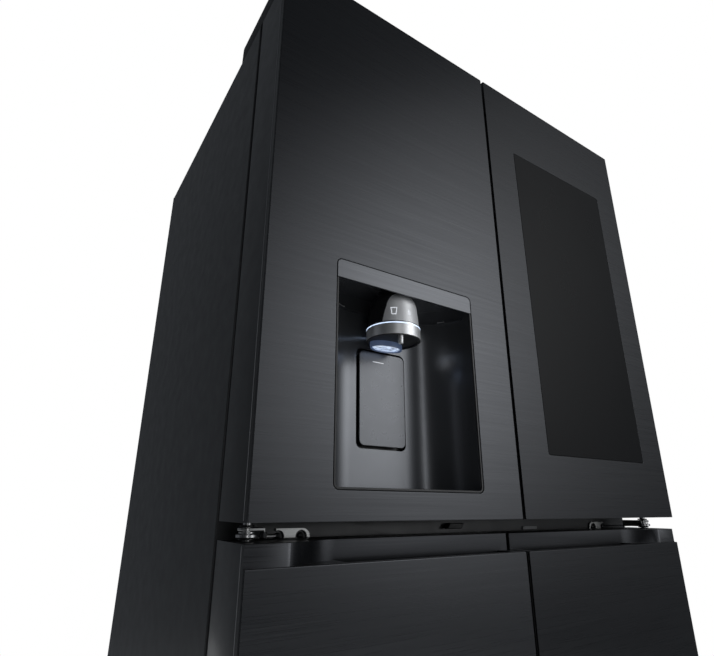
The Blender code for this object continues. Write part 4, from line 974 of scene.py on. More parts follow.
# ---------------------------------------------------------------- dispenser
class FRIDGE_OT_recess(bpy.types.Operator):
    """Makes the dispenser's recess: lip, curved rear corners, ledge, well and the paddle's pocket"""

    bl_idname = "fridge.recess"
    bl_label = "Dispenser Recess"

    WALL = RECESS_WALL
    REAR = 0.091  # depth of the rear wall
    CURVE = 0.078  # radius of the rear corners
    CEILING = 1.250
    MOUTH_TOP = 1.30  # of the cutter, above the lip
    POCKET_X, POCKET_Z, POCKET_REAR = (-0.2578, -0.1615), (1.0040, 1.1640), 0.1035
    BEFORE = -0.01  # depth where the cutters start, in front of the doors

    def execute(self, context):
        place = recess_box()
        trim = Box("dispenser_trim")
        rim = plate(
            "recess_shell", round_rect(place.x, place.z, DISPENSER_RADIUS, 10), "Y",
            (behind(0.0033), place.y[1]),
        )
        lip_z = (place.z[0], trim.z[0] - GAP)
        lip_radii = (0.0, 0.0, DISPENSER_RADIUS, DISPENSER_RADIUS)
        lip = plate("recess_lip", round_rect(place.x, lip_z, lip_radii, 10), "Y", depths(0.0006, 0.0030))
        mouth_z = (place.z[0] + self.WALL, self.MOUTH_TOP)
        mouth = round_rect(widen(place.x, -self.WALL), mouth_z, 0.005, 6)
        mouth = plate("mouth_cutter", mouth, "Y", depths(self.BEFORE, 0.01))
        carve(lip, mouth)
        put(soften(lip, 0.0006, 3), "upper_left_door", "dispenser_plastic", "rim")
        hollow_z = (place.z[0] + self.WALL, self.CEILING)
        hollow = plate("recess_cutter", self.outline(place, 0.0), "Z", hollow_z)
        pocket = round_rect(self.POCKET_X, self.POCKET_Z, 0.010, 8)
        pocket = plate("pocket_cutter", pocket, "Y", depths(0.06, self.POCKET_REAR))
        drip = Box("drip_tray")
        drain_z = about(place.z[0], 0.01)
        drain = block("tray_cutter", widen(drip.x, GAP), widen(drip.y, GAP), drain_z)
        carve(rim, hollow, pocket, drain)
        smooth(rim, 25)
        put(soften(rim, 0.0007, 3, 50), "upper_left_door", "dispenser_plastic", "recess", "dispenser_housing")
        rim.data.materials.append(Finishes.get("rim"))
        # Faces deep in the paddle's pocket take the black rim finish: painted shade in the gap round the
        # paddle.
        inside_x, inside_z = widen(self.POCKET_X, 0.0004), widen(self.POCKET_Z, 0.0004)
        for face in rim.data.polygons:
            x, y, z = face.center
            deep = behind(self.REAR + 0.0003) < y < place.y[1] - 0.0004
            if deep and inside_x[0] < x < inside_x[1] and inside_z[0] < z < inside_z[1]:
                face.material_index = 1
        floor = Box("dispenser_housing").z[0]
        well = tray(
            "tray_well", widen(drip.x, self.WALL), widen(drip.y, self.WALL), (floor, place.z[0] - 0.0001),
            0.0027, 0.004, 0.003,
        )
        put(well, "upper_left_door", "dispenser_plastic", "recess")
        self.make_ledge(place)
        return {"FINISHED"}

    def outline(self, place, inset):
        """The recess seen from above, this far inside its walls."""
        left = place.x[0] + self.WALL + inset
        right = place.x[1] - self.WALL - inset
        rear = self.REAR - inset
        curve = self.CURVE - inset
        points = [(left, behind(self.BEFORE)), (left, behind(rear - curve))]
        points += arc((left + curve, behind(rear - curve)), curve, 180, 90, 28)[1:]
        points += arc((right - curve, behind(rear - curve)), curve, 90, 0, 28)
        points.append((right, behind(self.BEFORE)))
        return points

    def make_ledge(self, place):
        """A slim bar along the wall above the paddle, with a bright insert near each end."""
        outer = self.outline(place, 0.0001)[2:-2]
        inner = self.outline(place, 0.0035)[2:-2]
        low = place.z[1] - 0.0351
        for name, ends, finish, lift, height in (
            ("recess_ledge", (0.0, 1.0), "recess", 0.0, 0.0030),
            ("ledge_insert_left", (0.26, 0.42), "ring", 0.0031, 0.0014),
            ("ledge_insert_right", (0.80, 0.86), "ring", 0.0031, 0.0014),
        ):
            first, last = (round(end * (len(outer) - 1)) for end in ends)
            band = outer[first:last + 1] + list(reversed(inner[first:last + 1]))
            piece = plate(name, band, "Z", (low + lift, low + lift + height))
            put(smooth(piece, 30), "upper_left_door", "dispenser_plastic", finish)


class FRIDGE_OT_dispenser_head(bpy.types.Operator):
    """Makes the dispenser's head, its icons, lit ring, outlet, nozzle, paddle, trim and drip tray"""

    bl_idname = "fridge.dispenser_head"
    bl_label = "Dispenser Head"

    OVER = 0.0024  # how far the head's foot stands out past its solid
    JOINT = 0.0196  # of the head's cover with its core, in front of the head's axis
    LEAN = 0.16  # of that joint
    ICONS_TURN = -18  # of the middle between the icons, in degrees from straight ahead
    ICON_RISE, ICON_TILT = 0.0170, 0.07
    ICON_REACH, ICON_PROUD = 0.9774, 0.00035  # of the foot's radius, and beyond that
    OUTLET_BACK = 0.0195  # of the outlet's axis from the ring's
    OVAL = (1.44, 0.86)  # the outlet's stretch across and from front to back
    FACE_X, FACE_Z, FACE_DEPTHS = (-0.2541, -0.1644), (1.0083, 1.1600), (0.0873, 0.0903)

    def execute(self, context):
        ring = Box("dispenser_ring")
        self.centre = (ring.middle.x, ring.middle.y)
        self.make_trim()
        self.make_head()
        self.make_ring(ring)
        self.make_outlet()
        self.make_paddle()
        self.make_tray()
        return {"FINISHED"}

    def at(self, height):
        """A place on the axis that the head and the ring share."""
        return (*self.centre, height)

    def oval(self, x, y):
        """Stretches what stands round an upright axis to the outlet's oval."""
        stretch = Matrix.Diagonal((*self.OVAL, 1.0, 1.0))
        return Matrix.Translation((x, y, 0)) @ stretch @ Matrix.Translation((-x, -y, 0))

    def make_trim(self):
        place = Box("dispenser_trim")
        radii = (DISPENSER_RADIUS, DISPENSER_RADIUS, 0.0008, 0.0008)
        trim = plate("dispenser_trim_strip", round_rect(place.x, place.z, radii, 10), "Y", place.y)
        put(soften(trim, 0.0007, 3), "upper_left_door", "black_steel", "trim_steel", "dispenser_trim")

    def make_head(self):
        place = Box("dispenser_head")
        radius = place.size.x / 2 + self.OVER
        top = place.size.z
        profile = [
            (0, 0), (radius - 0.0006, 0), (radius, 0.0006), (radius * 0.990, 0.010), (radius * 0.972, 0.020)
        ]
        shoulder = radius * 0.60
        for angle in range(0, 91, 6):
            turn = radians(angle)
            profile.append((shoulder + (radius * 0.95 - shoulder) * cos(turn), 0.026 + 0.026 * sin(turn)))
        profile += [(shoulder - 0.002, 0.0525), (shoulder - 0.002, top), (0, top)]
        cover = lathe("dispenser_dome", profile, self.at(place.z[0]), sides=96)
        seam = self.centre[1] - self.JOINT
        slice_off(cover, (0, seam - 0.00015, place.z[0]), (0, 1, self.LEAN))
        put(smooth(cover, 40), "upper_left_door", "satin_silver", "head", "dispenser_head")
        core = lathe(
            "dispenser_core", [(max(r - 0.0009, 0.0), h) for r, h in profile], self.at(place.z[0]), sides=96
        )
        slice_off(core, (0, seam + 0.00015, place.z[0]), (0, -1, -self.LEAN))
        put(smooth(core, 40), "upper_left_door", "black_plastic", "rim")
        foot = [
            (radius - 0.0008, 0.0), (radius + 0.00025, 0.0), (radius + 0.00025, 0.0011),
            (radius - 0.0008, 0.0013),
        ]
        groove = hoop("head_foot_line", foot, self.at(place.z[0]), 96)
        put(groove, "upper_left_door", "black_plastic", "rim")
        self.make_icons(place.z[0], radius)

    def make_icons(self, base, radius):
        """Two generic signs on the front of the head: a beaker and a drop. They glow faintly though they are
        no lamps: painted light that lifts them off the pale head.
        """
        beaker = [(-0.0052, 0.0060), (-0.0036, -0.0060), (0.0036, -0.0060), (0.0052, 0.0060)]
        inner = [(-0.0040, 0.0050), (-0.0026, -0.0048), (0.0026, -0.0048), (0.0040, 0.0050)]
        drop = [(0.0, 0.0046)] + arc((0, -0.0014), 0.0028, 35, -215, 16)
        hole = [(0.0, 0.0026)] + arc((0, -0.0014), 0.0018, 35, -215, 16)
        for name, outline, inside, turn in (("beaker", beaker, inner, -17), ("drop", drop, hole, 19)):
            mark = plate("icon_" + name, outline, "Y", (0.0, 0.0010), [inside])
            for corner in mark.data.vertices:
                corner.co.y += self.ICON_TILT * corner.co.z
            angle = radians(-90 + self.ICONS_TURN + turn)
            out = Vector((cos(angle), sin(angle), 0))
            across = Vector((-sin(angle), cos(angle), 0))
            reach = radius * self.ICON_REACH + self.ICON_PROUD
            place = Vector(self.at(base + self.ICON_RISE)) + out * reach
            mark.data.transform(Matrix((
                (across.x, -out.x, 0, place.x),
                (across.y, -out.y, 0, place.y),
                (0, 0, 1, place.z),
                (0, 0, 0, 1),
            )))
            put(mark, "upper_left_door", "satin_silver", "icon")

    def make_ring(self, place):
        radius, height = place.size.x / 2, place.size.z
        lip = 0.0040
        profile = [
            (0, 0.0022), (radius - lip, 0.0022), (radius - lip, 0.0), (radius - 0.0010, 0.0),
            (radius, 0.0010), (radius, height - 0.0032), (radius - 0.0008, height - 0.0024),
            (radius - 0.0008, height), (0, height),
        ]
        ring = lathe("dispenser_ring_band", profile, self.at(place.z[0]), sides=128)
        smooth(ring, 30)
        outlet = self.centre[0], self.centre[1] + self.OUTLET_BACK
        below = place.z[0] - 0.01
        under = lathe("outlet_cutter", rod(0.0208, 0.020), (*outlet, below), sides=64)
        under.data.transform(self.oval(*outlet))
        nozzle = self.centre[0] - 0.0115, behind(0.0115)
        hole = lathe("nozzle_cutter", rod(0.0043, 0.020), (*nozzle, below), sides=32)
        carve(ring, under, hole)
        put(smooth(ring, 30), "upper_left_door", "satin_silver", "ring", "dispenser_ring")
        ring.data.materials.append(Finishes.get("ring_under"))
        for face in ring.data.polygons:
            reach = hypot(face.center.x - self.centre[0], face.center.y - self.centre[1])
            if face.normal.z < -0.5 and face.center.z < place.z[0] + 0.004 or reach < radius - lip * 0.9:
                face.material_index = 1
        line = [
            (radius - 0.0009, 0.0), (radius + 0.0001, 0.0002), (radius + 0.0001, 0.0009),
            (radius - 0.0009, 0.0011),
        ]
        glow = hoop("ring_light_line", line, self.at(place.z[1] - 0.0024), 128)
        put(glow, "upper_left_door", "light_lens", "line")

    def make_outlet(self):
        lamp = Box("dispenser_lamp")
        middle = (lamp.middle.x, lamp.middle.y)
        radius, low, top = lamp.size.x / 2, lamp.z[0], lamp.z[1]
        oval = self.oval(*middle)
        profile = [
            (0, 0.0052), (radius * 0.84, 0.0052), (radius * 0.88, 0.0022), (radius * 0.95, 0.0004),
            (radius * 0.98, 0.0008), (radius, 0.0024), (radius, top - low), (0, top - low),
        ]
        housing = lathe("outlet_housing", profile, (*middle, low), sides=96)
        housing.data.transform(oval)
        put(smooth(housing, 35), "upper_left_door", "light_lens", "outlet", "dispenser_lamp")
        core = [
            (0, 0.0002), (radius * 0.50, 0.0004), (radius * 0.78, 0.0012), (radius * 0.84, 0.0024),
            (radius * 0.80, 0.0049), (0, 0.0049),
        ]
        lens = lathe("outlet_lens", core, (*middle, low), sides=96)
        lens.data.transform(oval)
        put(smooth(lens, 35), "upper_left_door", "light_lens", "lens")
        self.make_nozzle()

    def make_nozzle(self):
        nozzle = Box("dispenser_nozzle")
        spout_radius = nozzle.size.x / 2
        spout = [
            (0, 0.004), (spout_radius * 0.55, 0.004), (spout_radius * 0.60, 0.0), (spout_radius * 0.86, 0.0),
            (spout_radius * 0.94, 0.0007), (spout_radius, 0.006), (spout_radius, nozzle.size.z),
            (0, nozzle.size.z),
        ]
        tip = lathe("water_nozzle", spout, (nozzle.middle.x, nozzle.middle.y, nozzle.z[0]), sides=40)
        put(smooth(tip, 35), "upper_left_door", "satin_silver", "ring", "dispenser_nozzle")

    def make_paddle(self):
        face = round_rect(self.FACE_X, self.FACE_Z, 0.009, 10)
        pad = plate("paddle_face", face, "Y", [behind(depth) for depth in self.FACE_DEPTHS])
        soften(pad, 0.0010, 4)
        middle = self.centre[0]
        arm = block("paddle_arm", about(middle, 0.0235), depths(0.0898, 0.099), (1.146, 1.157))
        bar = lathe("paddle_bar", rod(0.0025, 0.090), (self.FACE_X[0], behind(0.0965), 1.1545), "X", 24)
        join(pad, arm, bar)
        put(pad, "dispenser_paddle", "dispenser_plastic", "paddle", "dispenser_paddle")
        mark_y = depths(0.0869, 0.0875)
        mark = block("paddle_mark", about(middle, 0.011), mark_y, (1.1430, 1.1442), 0.0004, "Y")
        put(mark, "dispenser_paddle", "dispenser_plastic", "ring")

    def make_tray(self):
        place = Box("drip_tray")
        slots = [
            round_rect(about(x, 0.0045), widen(place.y, -0.006), 0.0044, 5)
            for x in row_of(11, 0.0148, place.middle.x)
        ]
        outline = round_rect(place.x, place.y, 0.008, 6)
        grille = plate("drip_tray_grille", outline, "Z", (place.z[1] - 0.0022, place.z[1]), slots)
        soften(grille, 0.0005, 2)
        base = block("drip_tray_base", place.x, place.y, (place.z[0], place.z[1] - 0.0022), 0.008)
        soften(base, 0.0004, 2)
        put(grille, "upper_left_door", "black_plastic", "plastic", "drip_tray")
        put(base, "upper_left_door", "black_plastic", "plastic")


# ---------------------------------------------------------------- hinges
class FRIDGE_OT_middle_hinges(bpy.types.Operator):
    """Makes the folded middle hinges with their screws, stacked washers, rollers and stop pins"""

    bl_idname = "fridge.middle_hinges"
    bl_label = "Middle Hinges"

    SHEET = 0.0030  # thickness of the wall plate
    ARM_SHEET = 0.0034
    REACH = 0.0112  # radius of the eye
    SCREWS = (0.0642, 0.0984)  # inwards of the eye

    def execute(self, context):
        for name, side in SIDES:
            self.make_bracket(name, side, axis_x(side))
            self.make_stack(name, side, axis_x(side))
        return {"FINISHED"}

    def make_bracket(self, name, side, eye_x):
        """The wall plate, its folded foot, the step and the arm that ends in a round eye."""
        def at(inwards):
            return eye_x - side * inwards

        rear = Box(f"mid_hinge_{name}").y[1]
        floor = Box("lower_left_door_body").z[1]
        arm_low, sheet = floor + 0.0120, self.ARM_SHEET
        wall = plate(f"hinge_wall_{name}", self.wall_outline(at, floor), "Y", (rear - self.SHEET, rear))
        soften(wall, 0.0005, 3)
        foot = [
            (at(0.0600), rear - 0.0002), (at(0.0600), rear - 0.0060), (at(0.0440), rear - 0.0395),
            (at(0.0190), rear - 0.0395), (at(0.0190), rear - 0.0200), (at(0.0400), rear - 0.0002),
        ]
        foot = plate(f"hinge_foot_{name}", foot, "Z", (floor + 0.0036, floor + 0.0052))
        soften(foot, 0.0005, 3)
        step = [
            (at(0.0206), floor + 0.0036), (at(0.0190), floor + 0.0036), (at(0.0182), arm_low),
            (at(0.0100), arm_low), (at(0.0100), arm_low + sheet), (at(0.0198), arm_low + sheet),
        ]
        step = plate(f"hinge_step_{name}", step, "Y", (rear - 0.062, rear - 0.0215))
        soften(step, 0.0006, 3)
        eye = [(at(0.0180), behind(AXIS_DEPTH) + self.REACH)]
        turn = (90, 270) if side < 0 else (90, -90)
        eye += arc((eye_x, behind(AXIS_DEPTH)), self.REACH, *turn, 24)
        eye.append((at(0.0180), behind(AXIS_DEPTH) - self.REACH))
        arm = plate(f"hinge_arm_{name}", eye, "Z", (arm_low, arm_low + sheet))
        soften(arm, 0.0007, 3)
        pin = lathe(
            f"hinge_pin_{name}",
            [(0, 0), (0.0040, 0), (0.0050, 0.0012), (0.0050, 0.0768), (0.0040, 0.078), (0, 0.078)],
            (eye_x, behind(AXIS_DEPTH), floor - 0.028), sides=40,
        )
        smooth(pin)
        for piece in (foot, step, arm):
            put(piece, "cabinet", "zinc_steel", "zinc")
        put(pin, "cabinet", "zinc_steel", "washer")
        put(wall, "cabinet", "zinc_steel", "zinc", f"mid_hinge_{name}")
        for number, inwards in enumerate(self.SCREWS):
            self.make_screw(
                f"hinge_screw_{name}_{number}", (at(inwards), rear - self.SHEET * 0.4, floor + 0.0022)
            )

    def wall_outline(self, at, floor):
        """A plate with a round far end and two open round cut-outs that the screws sit in."""
        low, high, end = floor - 0.0012, floor + 0.0118, 0.0115
        near, far = 0.0610, 0.1118
        points = [(at(near), high)]
        for inwards, start in zip(self.SCREWS, (112, 190)):
            points += [(at(inwards + a), floor + 0.0006 + b) for a, b in arc((0, 0), 0.0086, start, -10, 22)]
            points.append((at(inwards + 0.0085), low))
            if inwards == self.SCREWS[0]:
                points.append((at(self.SCREWS[1] - 0.0085), low))
        points.append((at(far), low))
        points += [(at(far - end + a), high - end + b) for a, b in arc((0, 0), end, 0, 90, 12)]
        return points

    def make_screw(self, name, head):
        """A black pan head with a cross recess."""
        profile = [(0, 0), (0.0042, 0), (0.0042, 0.0008), (0.0036, 0.0018), (0.0022, 0.0024), (0, 0.0026)]
        turned = [(radius, 0.0026 - height) for radius, height in reversed(profile)]
        screw = lathe(name, turned, (0, 0, 0), "Y", 40)
        for turn in (0, 90):
            bar = block(name + "_slot", (-0.0016, 0.0016), (-0.01, 0.0009), (-0.0004, 0.0004))
            bar.data.transform(Matrix.Rotation(radians(turn + 20), 4, "Y"))
            carve(screw, bar)
        screw.data.transform(Matrix.Translation(Vector(head) - Vector((0, 0.0022, 0))))
        put(smooth(screw, 35), "cabinet", "zinc_steel", "screw")

    def make_stack(self, name, side, eye_x):
        """Washers between the two doors, a small dark roller beside them and a stop pin under the arm."""
        floor = Box("lower_left_door_body").z[1]
        for number, (low, high, radius) in enumerate((
            (0.0014, 0.0038, 0.0096), (0.0043, 0.0082, 0.0128),
            (0.0090, 0.0110, 0.0100), (0.0160, 0.0184, 0.0088),
        )):
            section = [
                (0.0052, low), (radius - 0.0006, low), (radius, low + 0.0006), (radius, high - 0.0006),
                (radius - 0.0006, high), (0.0052, high),
            ]
            disc = hoop(f"hinge_washer_{name}_{number}", section, (eye_x, behind(AXIS_DEPTH), floor), 64)
            put(disc, "cabinet", "zinc_steel", "rim" if number in (0, 3) else "washer")
        drum_x = eye_x - side * 0.0185
        drum = lathe(
            f"hinge_roller_{name}",
            [(0, 0), (0.0038, 0), (0.0044, 0.0006), (0.0044, 0.0064), (0.0038, 0.0070), (0, 0.0070)],
            (drum_x, behind(AXIS_DEPTH - 0.006), floor + 0.0032), sides=32,
        )
        put(smooth(drum), "cabinet", "black_plastic", "screw")
        stop = lathe(
            f"hinge_stop_{name}", [(0, 0), (0.0012, 0), (0.0018, 0.0005), (0.0018, 0.0023), (0, 0.0023)],
            (eye_x - side * 0.034, behind(AXIS_DEPTH + 0.022), floor + 0.0012), sides=24,
        )
        put(smooth(stop), "cabinet", "zinc_steel", "zinc")


class FRIDGE_OT_end_hinges(bpy.types.Operator):
    """Makes the top hinges' moulded covers and finishes the top and bottom hinge plates"""

    bl_idname = "fridge.end_hinges"
    bl_label = "Top and Bottom Hinges"

    def execute(self, context):
        for name in ("left", "right"):
            recast(f"top_hinge_{name}", f"top_hinge_plate_{name}", "cabinet", "zinc_steel", "zinc", 0.0007)
            recast(
                f"bottom_hinge_{name}", f"bottom_hinge_plate_{name}", "cabinet", "zinc_steel", "zinc", 0.0006
            )
            place = Box(f"hinge_cover_{name}")
            low, high = place.z
            wall = 0.0025
            profile = [(0.0004, low), (0.0, low + 0.001), (0.0006, high - 0.0095)]
            for step in range(1, 7):
                turn = radians(90 * step / 6)
                profile.append((0.0006 + 0.0090 * (1 - cos(turn)), high - 0.0095 + 0.0090 * sin(turn)))
            profile.append((0.0240, high - 0.0002))
            cover = stack(f"hinge_cover_shell_{name}", place.x, place.y, 0.012, profile, "Z", steps=8)
            hollow = [(wall, low - 0.002), (wall, high - 0.012), (0.010, high - wall - 0.001)]
            carve(cover, stack("cover_cutter", place.x, place.y, 0.012, hollow, "Z", steps=8))
            put(smooth(cover, 35), "cabinet", "black_plastic", "plastic", f"hinge_cover_{name}")
            screw_place = (place.middle.x, place.y[1] - 0.030, high - 0.0012)
            self.make_cap(f"hinge_cover_screw_{name}", screw_place)
        return {"FINISHED"}

    def make_cap(self, name, place):
        profile = [
            (0, 0.0016), (0.0020, 0.0016), (0.0024, 0.0024), (0.0038, 0.0022), (0.0048, 0.0014),
            (0.0050, 0.0002), (0, 0.0002),
        ]
        cap = lathe(name, profile, place, sides=40)
        put(smooth(cap, 40), "cabinet", "black_plastic", "screw")


# ---------------------------------------------------------------- cabinet
class FRIDGE_OT_cabinet(bpy.types.Operator):
    """Makes the folded steel wrap, the front frame with its crossbar fittings and the pressed back"""

    bl_idname = "fridge.cabinet"
    bl_label = "Cabinet"

    def execute(self, context):
        self.make_wrap()
        recast("front_frame", "front_flange", "cabinet", "dark_paint", "paint", 0.0006)
        self.make_crossbar()
        self.make_back()
        dress("insulation", "foam")
        return {"FINISHED"}

    def make_wrap(self):
        place = Box("cabinet_case")
        wall, corner = 0.0015, 0.0060
        (left, right), (low, high) = place.x, place.z
        outer = [(right, low)] + arc((right - corner, high - corner), corner, 0, 90, 8)
        outer += arc((left + corner, high - corner), corner, 90, 180, 8) + [(left, low)]
        inner = [(left + wall, low)] + arc((left + corner, high - corner), corner - wall, 180, 90, 8)
        inner += arc((right - corner, high - corner), corner - wall, 90, 0, 8) + [(right - wall, low)]
        wrap = plate("cabinet_wrap", outer + inner, "Y", place.y)
        put(soften(wrap, 0.0005, 2), "cabinet", "dark_paint", "paint", "cabinet_case")

    def make_crossbar(self):
        """Small fittings on the crossbar that show through the gap between the doors."""
        face = Box("front_frame").y[0]
        lower = Box("lower_left_door_body").z[1]
        hook = [
            (-0.076, lower + 0.0060), (-0.044, lower + 0.0060), (-0.038, lower + 0.0145),
            (-0.069, lower + 0.0145),
        ]
        hook = plate("door_switch_lever", hook, "Y", (face - 0.0115, face - 0.0004))
        put(soften(hook, 0.0012, 3), "cabinet", "black_plastic", "plastic")
        cap = stack(
            "crossbar_cover", (0.120, 0.160), (lower + 0.0012, lower + 0.0068), 0.0018,
            [(0.0, face - 0.0004), (0.0, face - 0.0020), (0.0006, face - 0.0026)], "Y",
        )
        put(cap, "cabinet", "white_plastic", "cap")

    def make_back(self):
        """The galvanised back, pressed into long ribs, with a row of screws along each side."""
        place = Box("back_panel")
        rib_count, margin, bend = 5, 0.060, 0.014
        pitch = (place.size.x - 2 * margin) / rib_count
        middles = [place.x[0] + margin + (number + 0.5) * pitch for number in range(rib_count)]
        across = [place.x[0], place.x[1]]
        for middle in middles:
            for side in (-1, 1):
                across += [middle + side * (pitch * 0.30 + bend * step / 6) for step in range(7)]
        upright = [place.z[0], place.z[1]]
        for end, inwards in ((place.z[0], 1), (place.z[1], -1)):
            upright += [end + inwards * (0.090 + bend * step / 6) for step in range(7)]
        builder = bmesh.new()
        grid = []
        for z in sorted(upright):
            line = []
            for x in sorted(across):
                beside = min(abs(x - middle) for middle in middles) - pitch * 0.30
                beyond = max(beside, place.z[0] + 0.090 + bend - z, z - place.z[1] + 0.090 + bend)
                rise = 0.0035 * (1 + cos(pi * max(0.0, min(1.0, beyond / bend)))) / 2
                line.append(builder.verts.new((x, place.y[1] - 0.0004 + rise, z)))
            grid.append(line)
        for lower, upper in zip(grid, grid[1:]):
            for column in range(len(lower) - 1):
                builder.faces.new((lower[column + 1], lower[column], upper[column], upper[column + 1]))
        panel = new_object("pressed_back", builder)
        skin = panel.modifiers.new("sheet", "SOLIDIFY")
        skin.thickness = 0.0012
        skin.offset = -1.0
        panel.data.shade_smooth()
        put(panel, "cabinet", "galvanised", "galvanised", "back_panel")
        head = [
            (0, -0.0004), (0.0048, -0.0004), (0.0048, 0.0004), (0.0038, 0.0018), (0.0016, 0.0021), (0, 0.0021)
        ]
        for column, side in enumerate((-1, 1)):
            for number in range(6):
                z = place.z[0] + place.size.z * (number + 0.5) / 6
                back_screw(
                    f"back_screw_{column}_{number}", head, (side * (place.x[1] - 0.018), place.y[1], z)
                )


class FRIDGE_OT_machine_room(bpy.types.Operator):
    """Makes the louvred cover, base pan, compressor with its pipes, kick plate, feet and rollers"""

    bl_idname = "fridge.machine_room"
    bl_label = "Machine Room and Base"

    def execute(self, context):
        self.make_cover()
        recast("base_pan", "base_tray", "cabinet", "galvanised", "galvanised", 0.0006)
        self.make_compressor()
        self.make_plinth()
        for name in ("left", "right"):
            self.make_roller(name)
            self.make_foot(name)
        return {"FINISHED"}

    def make_cover(self):
        """Black fibreboard cover with two rows of round-ended louvres and screws round its edge."""
        place = Box("machine_cover")
        middles = [place.x[0] + 0.150 + number * 0.026 for number in range(12)]
        lows = (place.z[0] + 0.035, place.z[0] + 0.135)
        slots = [round_rect(about(x, 0.0048), (low, low + 0.075), 0.0046, 6) for low in lows for x in middles]
        cover = plate("louvred_cover", round_rect(place.x, place.z, 0.010), "Y", place.y, slots)
        put(soften(cover, 0.0007, 2), "cabinet", "black_plastic", "plastic", "machine_cover")
        head = [(0, 0), (0.0052, 0), (0.0052, 0.0005), (0.0040, 0.0019), (0.0014, 0.0022), (0, 0.0022)]
        for number in range(5):
            x = place.x[0] + 0.020 + (place.size.x - 0.040) * number / 4
            for level, z in enumerate((place.z[0] + 0.014, place.z[1] - 0.014)):
                back_screw(f"cover_screw_{level}_{number}", head, (x, place.y[1], z))
        for number, x in enumerate(middles):
            for level, low in enumerate(lows):
                fin = block(
                    f"louvre_{level}_{number}", about(x, 0.0060), (place.y[0] - 0.0060, place.y[0] - 0.0004),
                    (low + 0.002, low + 0.073), 0.0009,
                )
                fin.data.transform(Matrix.Translation((0.0030, 0, 0)))
                put(fin, "cabinet", "black_plastic", "plastic")

    def make_compressor(self):
        place = Box("compressor")
        centre = (place.x[1] - 0.074, place.y[0] + 0.074, place.z[0])
        profile = [
            (0, 0.006), (0.060, 0.006), (0.066, 0.010), (0.0715, 0.030), (0.0735, 0.060), (0.0735, 0.0815)
        ]
        profile += [(0.0775, 0.0822), (0.0782, 0.0840), (0.0775, 0.0858), (0.0735, 0.0865), (0.0735, 0.110)]
        for step in range(9):
            turn = radians(90 * step / 8)
            profile.append((0.020 + 0.0535 * cos(turn), 0.110 + 0.061 * sin(turn)))
        profile.append((0, 0.171))
        shell = lathe("compressor_shell", profile, centre, sides=72)
        put(smooth(shell, 40), "cabinet", "black_iron", "enamel", "compressor")
        for number, (x, y) in enumerate(((-1, -1), (1, -1), (-1, 1), (1, 1))):
            foot_place = (centre[0] + x * 0.058, centre[1] + y * 0.046, centre[2])
            profile = [(0, 0), (0.011, 0), (0.012, 0.003), (0.0095, 0.006), (0.011, 0.009), (0.010, 0.0125)]
            profile.append((0, 0.0125))
            grommet = lathe(f"compressor_grommet_{number}", profile, foot_place, sides=32)
            put(smooth(grommet, 40), "cabinet", "gray_rubber", "rubber")
        edge = [(0.0006, 0.0125), (0, 0.0132), (0, 0.0148), (0.0006, 0.0155)]
        skirt = stack(
            "compressor_foot_plate", about(centre[0], 0.072), about(centre[1], 0.060), 0.014,
            [(inset, centre[2] + height) for inset, height in edge],
        )
        put(skirt, "cabinet", "black_iron", "enamel")
        box_x = (centre[0] - 0.092, centre[0] - 0.070)
        terminal = stack(
            "terminal_cover", about(centre[1], 0.028), (centre[2] + 0.055, centre[2] + 0.115), 0.006,
            [(0.0, box_x[1]), (0.0, box_x[0] + 0.004), (0.0012, box_x[0] + 0.0012), (0.004, box_x[0])], "X",
        )
        put(terminal, "cabinet", "black_plastic", "plastic")
        self.make_pipes(centre)

    def make_pipes(self, centre):
        """Copper suction, discharge and process pipes, bent up and round from the shell."""
        x, y, z = centre
        runs = (
            (
                "suction_pipe", 0.0042,
                [
                    (x - 0.055, y + 0.030, z + 0.110), (x - 0.055, y + 0.030, z + 0.205),
                    (x - 0.150, y + 0.030, z + 0.205), (x - 0.150, y + 0.030, z + 0.120),
                    (x - 0.260, y + 0.020, z + 0.120),
                ],
            ),
            (
                "discharge_pipe", 0.0030,
                [
                    (x + 0.020, y + 0.050, z + 0.140), (x + 0.020, y + 0.050, z + 0.225),
                    (x + 0.110, y + 0.040, z + 0.225), (x + 0.110, y - 0.030, z + 0.225),
                    (x + 0.110, y - 0.040, z + 0.030),
                ],
            ),
            (
                "process_pipe", 0.0030,
                [
                    (x + 0.040, y - 0.040, z + 0.130), (x + 0.040, y - 0.040, z + 0.190),
                    (x + 0.058, y - 0.040, z + 0.205),
                ],
            ),
        )
        for name, radius, corners in runs:
            pipe = tube(name, bent_path(corners, 0.018, 8), radius, 16)
            put(smooth(pipe, 40), "cabinet", "zinc_steel", "copper")

    def make_plinth(self):
        """A folded kick plate with a grille of slots along its middle."""
        place = Box("kick_plate")
        slots = [
            round_rect(about(x, 0.0078), (place.z[0] + low, place.z[0] + high), 0.0028, 5)
            for x in row_of(30, 0.0196) for low, high in ((0.012, 0.018), (0.023, 0.029))
        ]
        front = plate(
            "kick_plate_front", round_rect(place.x, place.z, 0.002, 3), "Y",
            (place.y[0], place.y[0] + 0.0030), slots,
        )
        put(soften(front, 0.0006, 2), "cabinet", "dark_paint", "plastic", "kick_plate")
        rear = (place.y[0] + 0.0031, place.y[1])
        ends = (("left", (place.x[0], place.x[0] + 0.003)), ("right", (place.x[1] - 0.003, place.x[1])))
        for name, x in ends:
            cheek = block(
                "kick_plate_end_" + name, x, rear, (place.z[0] + 0.0005, place.z[1] - 0.0036), 0.0008, "X"
            )
            put(soften(cheek, 0.0006, 2), "cabinet", "dark_paint", "plastic")
        top = block("kick_plate_top", place.x, rear, (place.z[1] - 0.0031, place.z[1] - 0.0001), 0.0012)
        put(soften(top, 0.0006, 2), "cabinet", "dark_paint", "plastic")

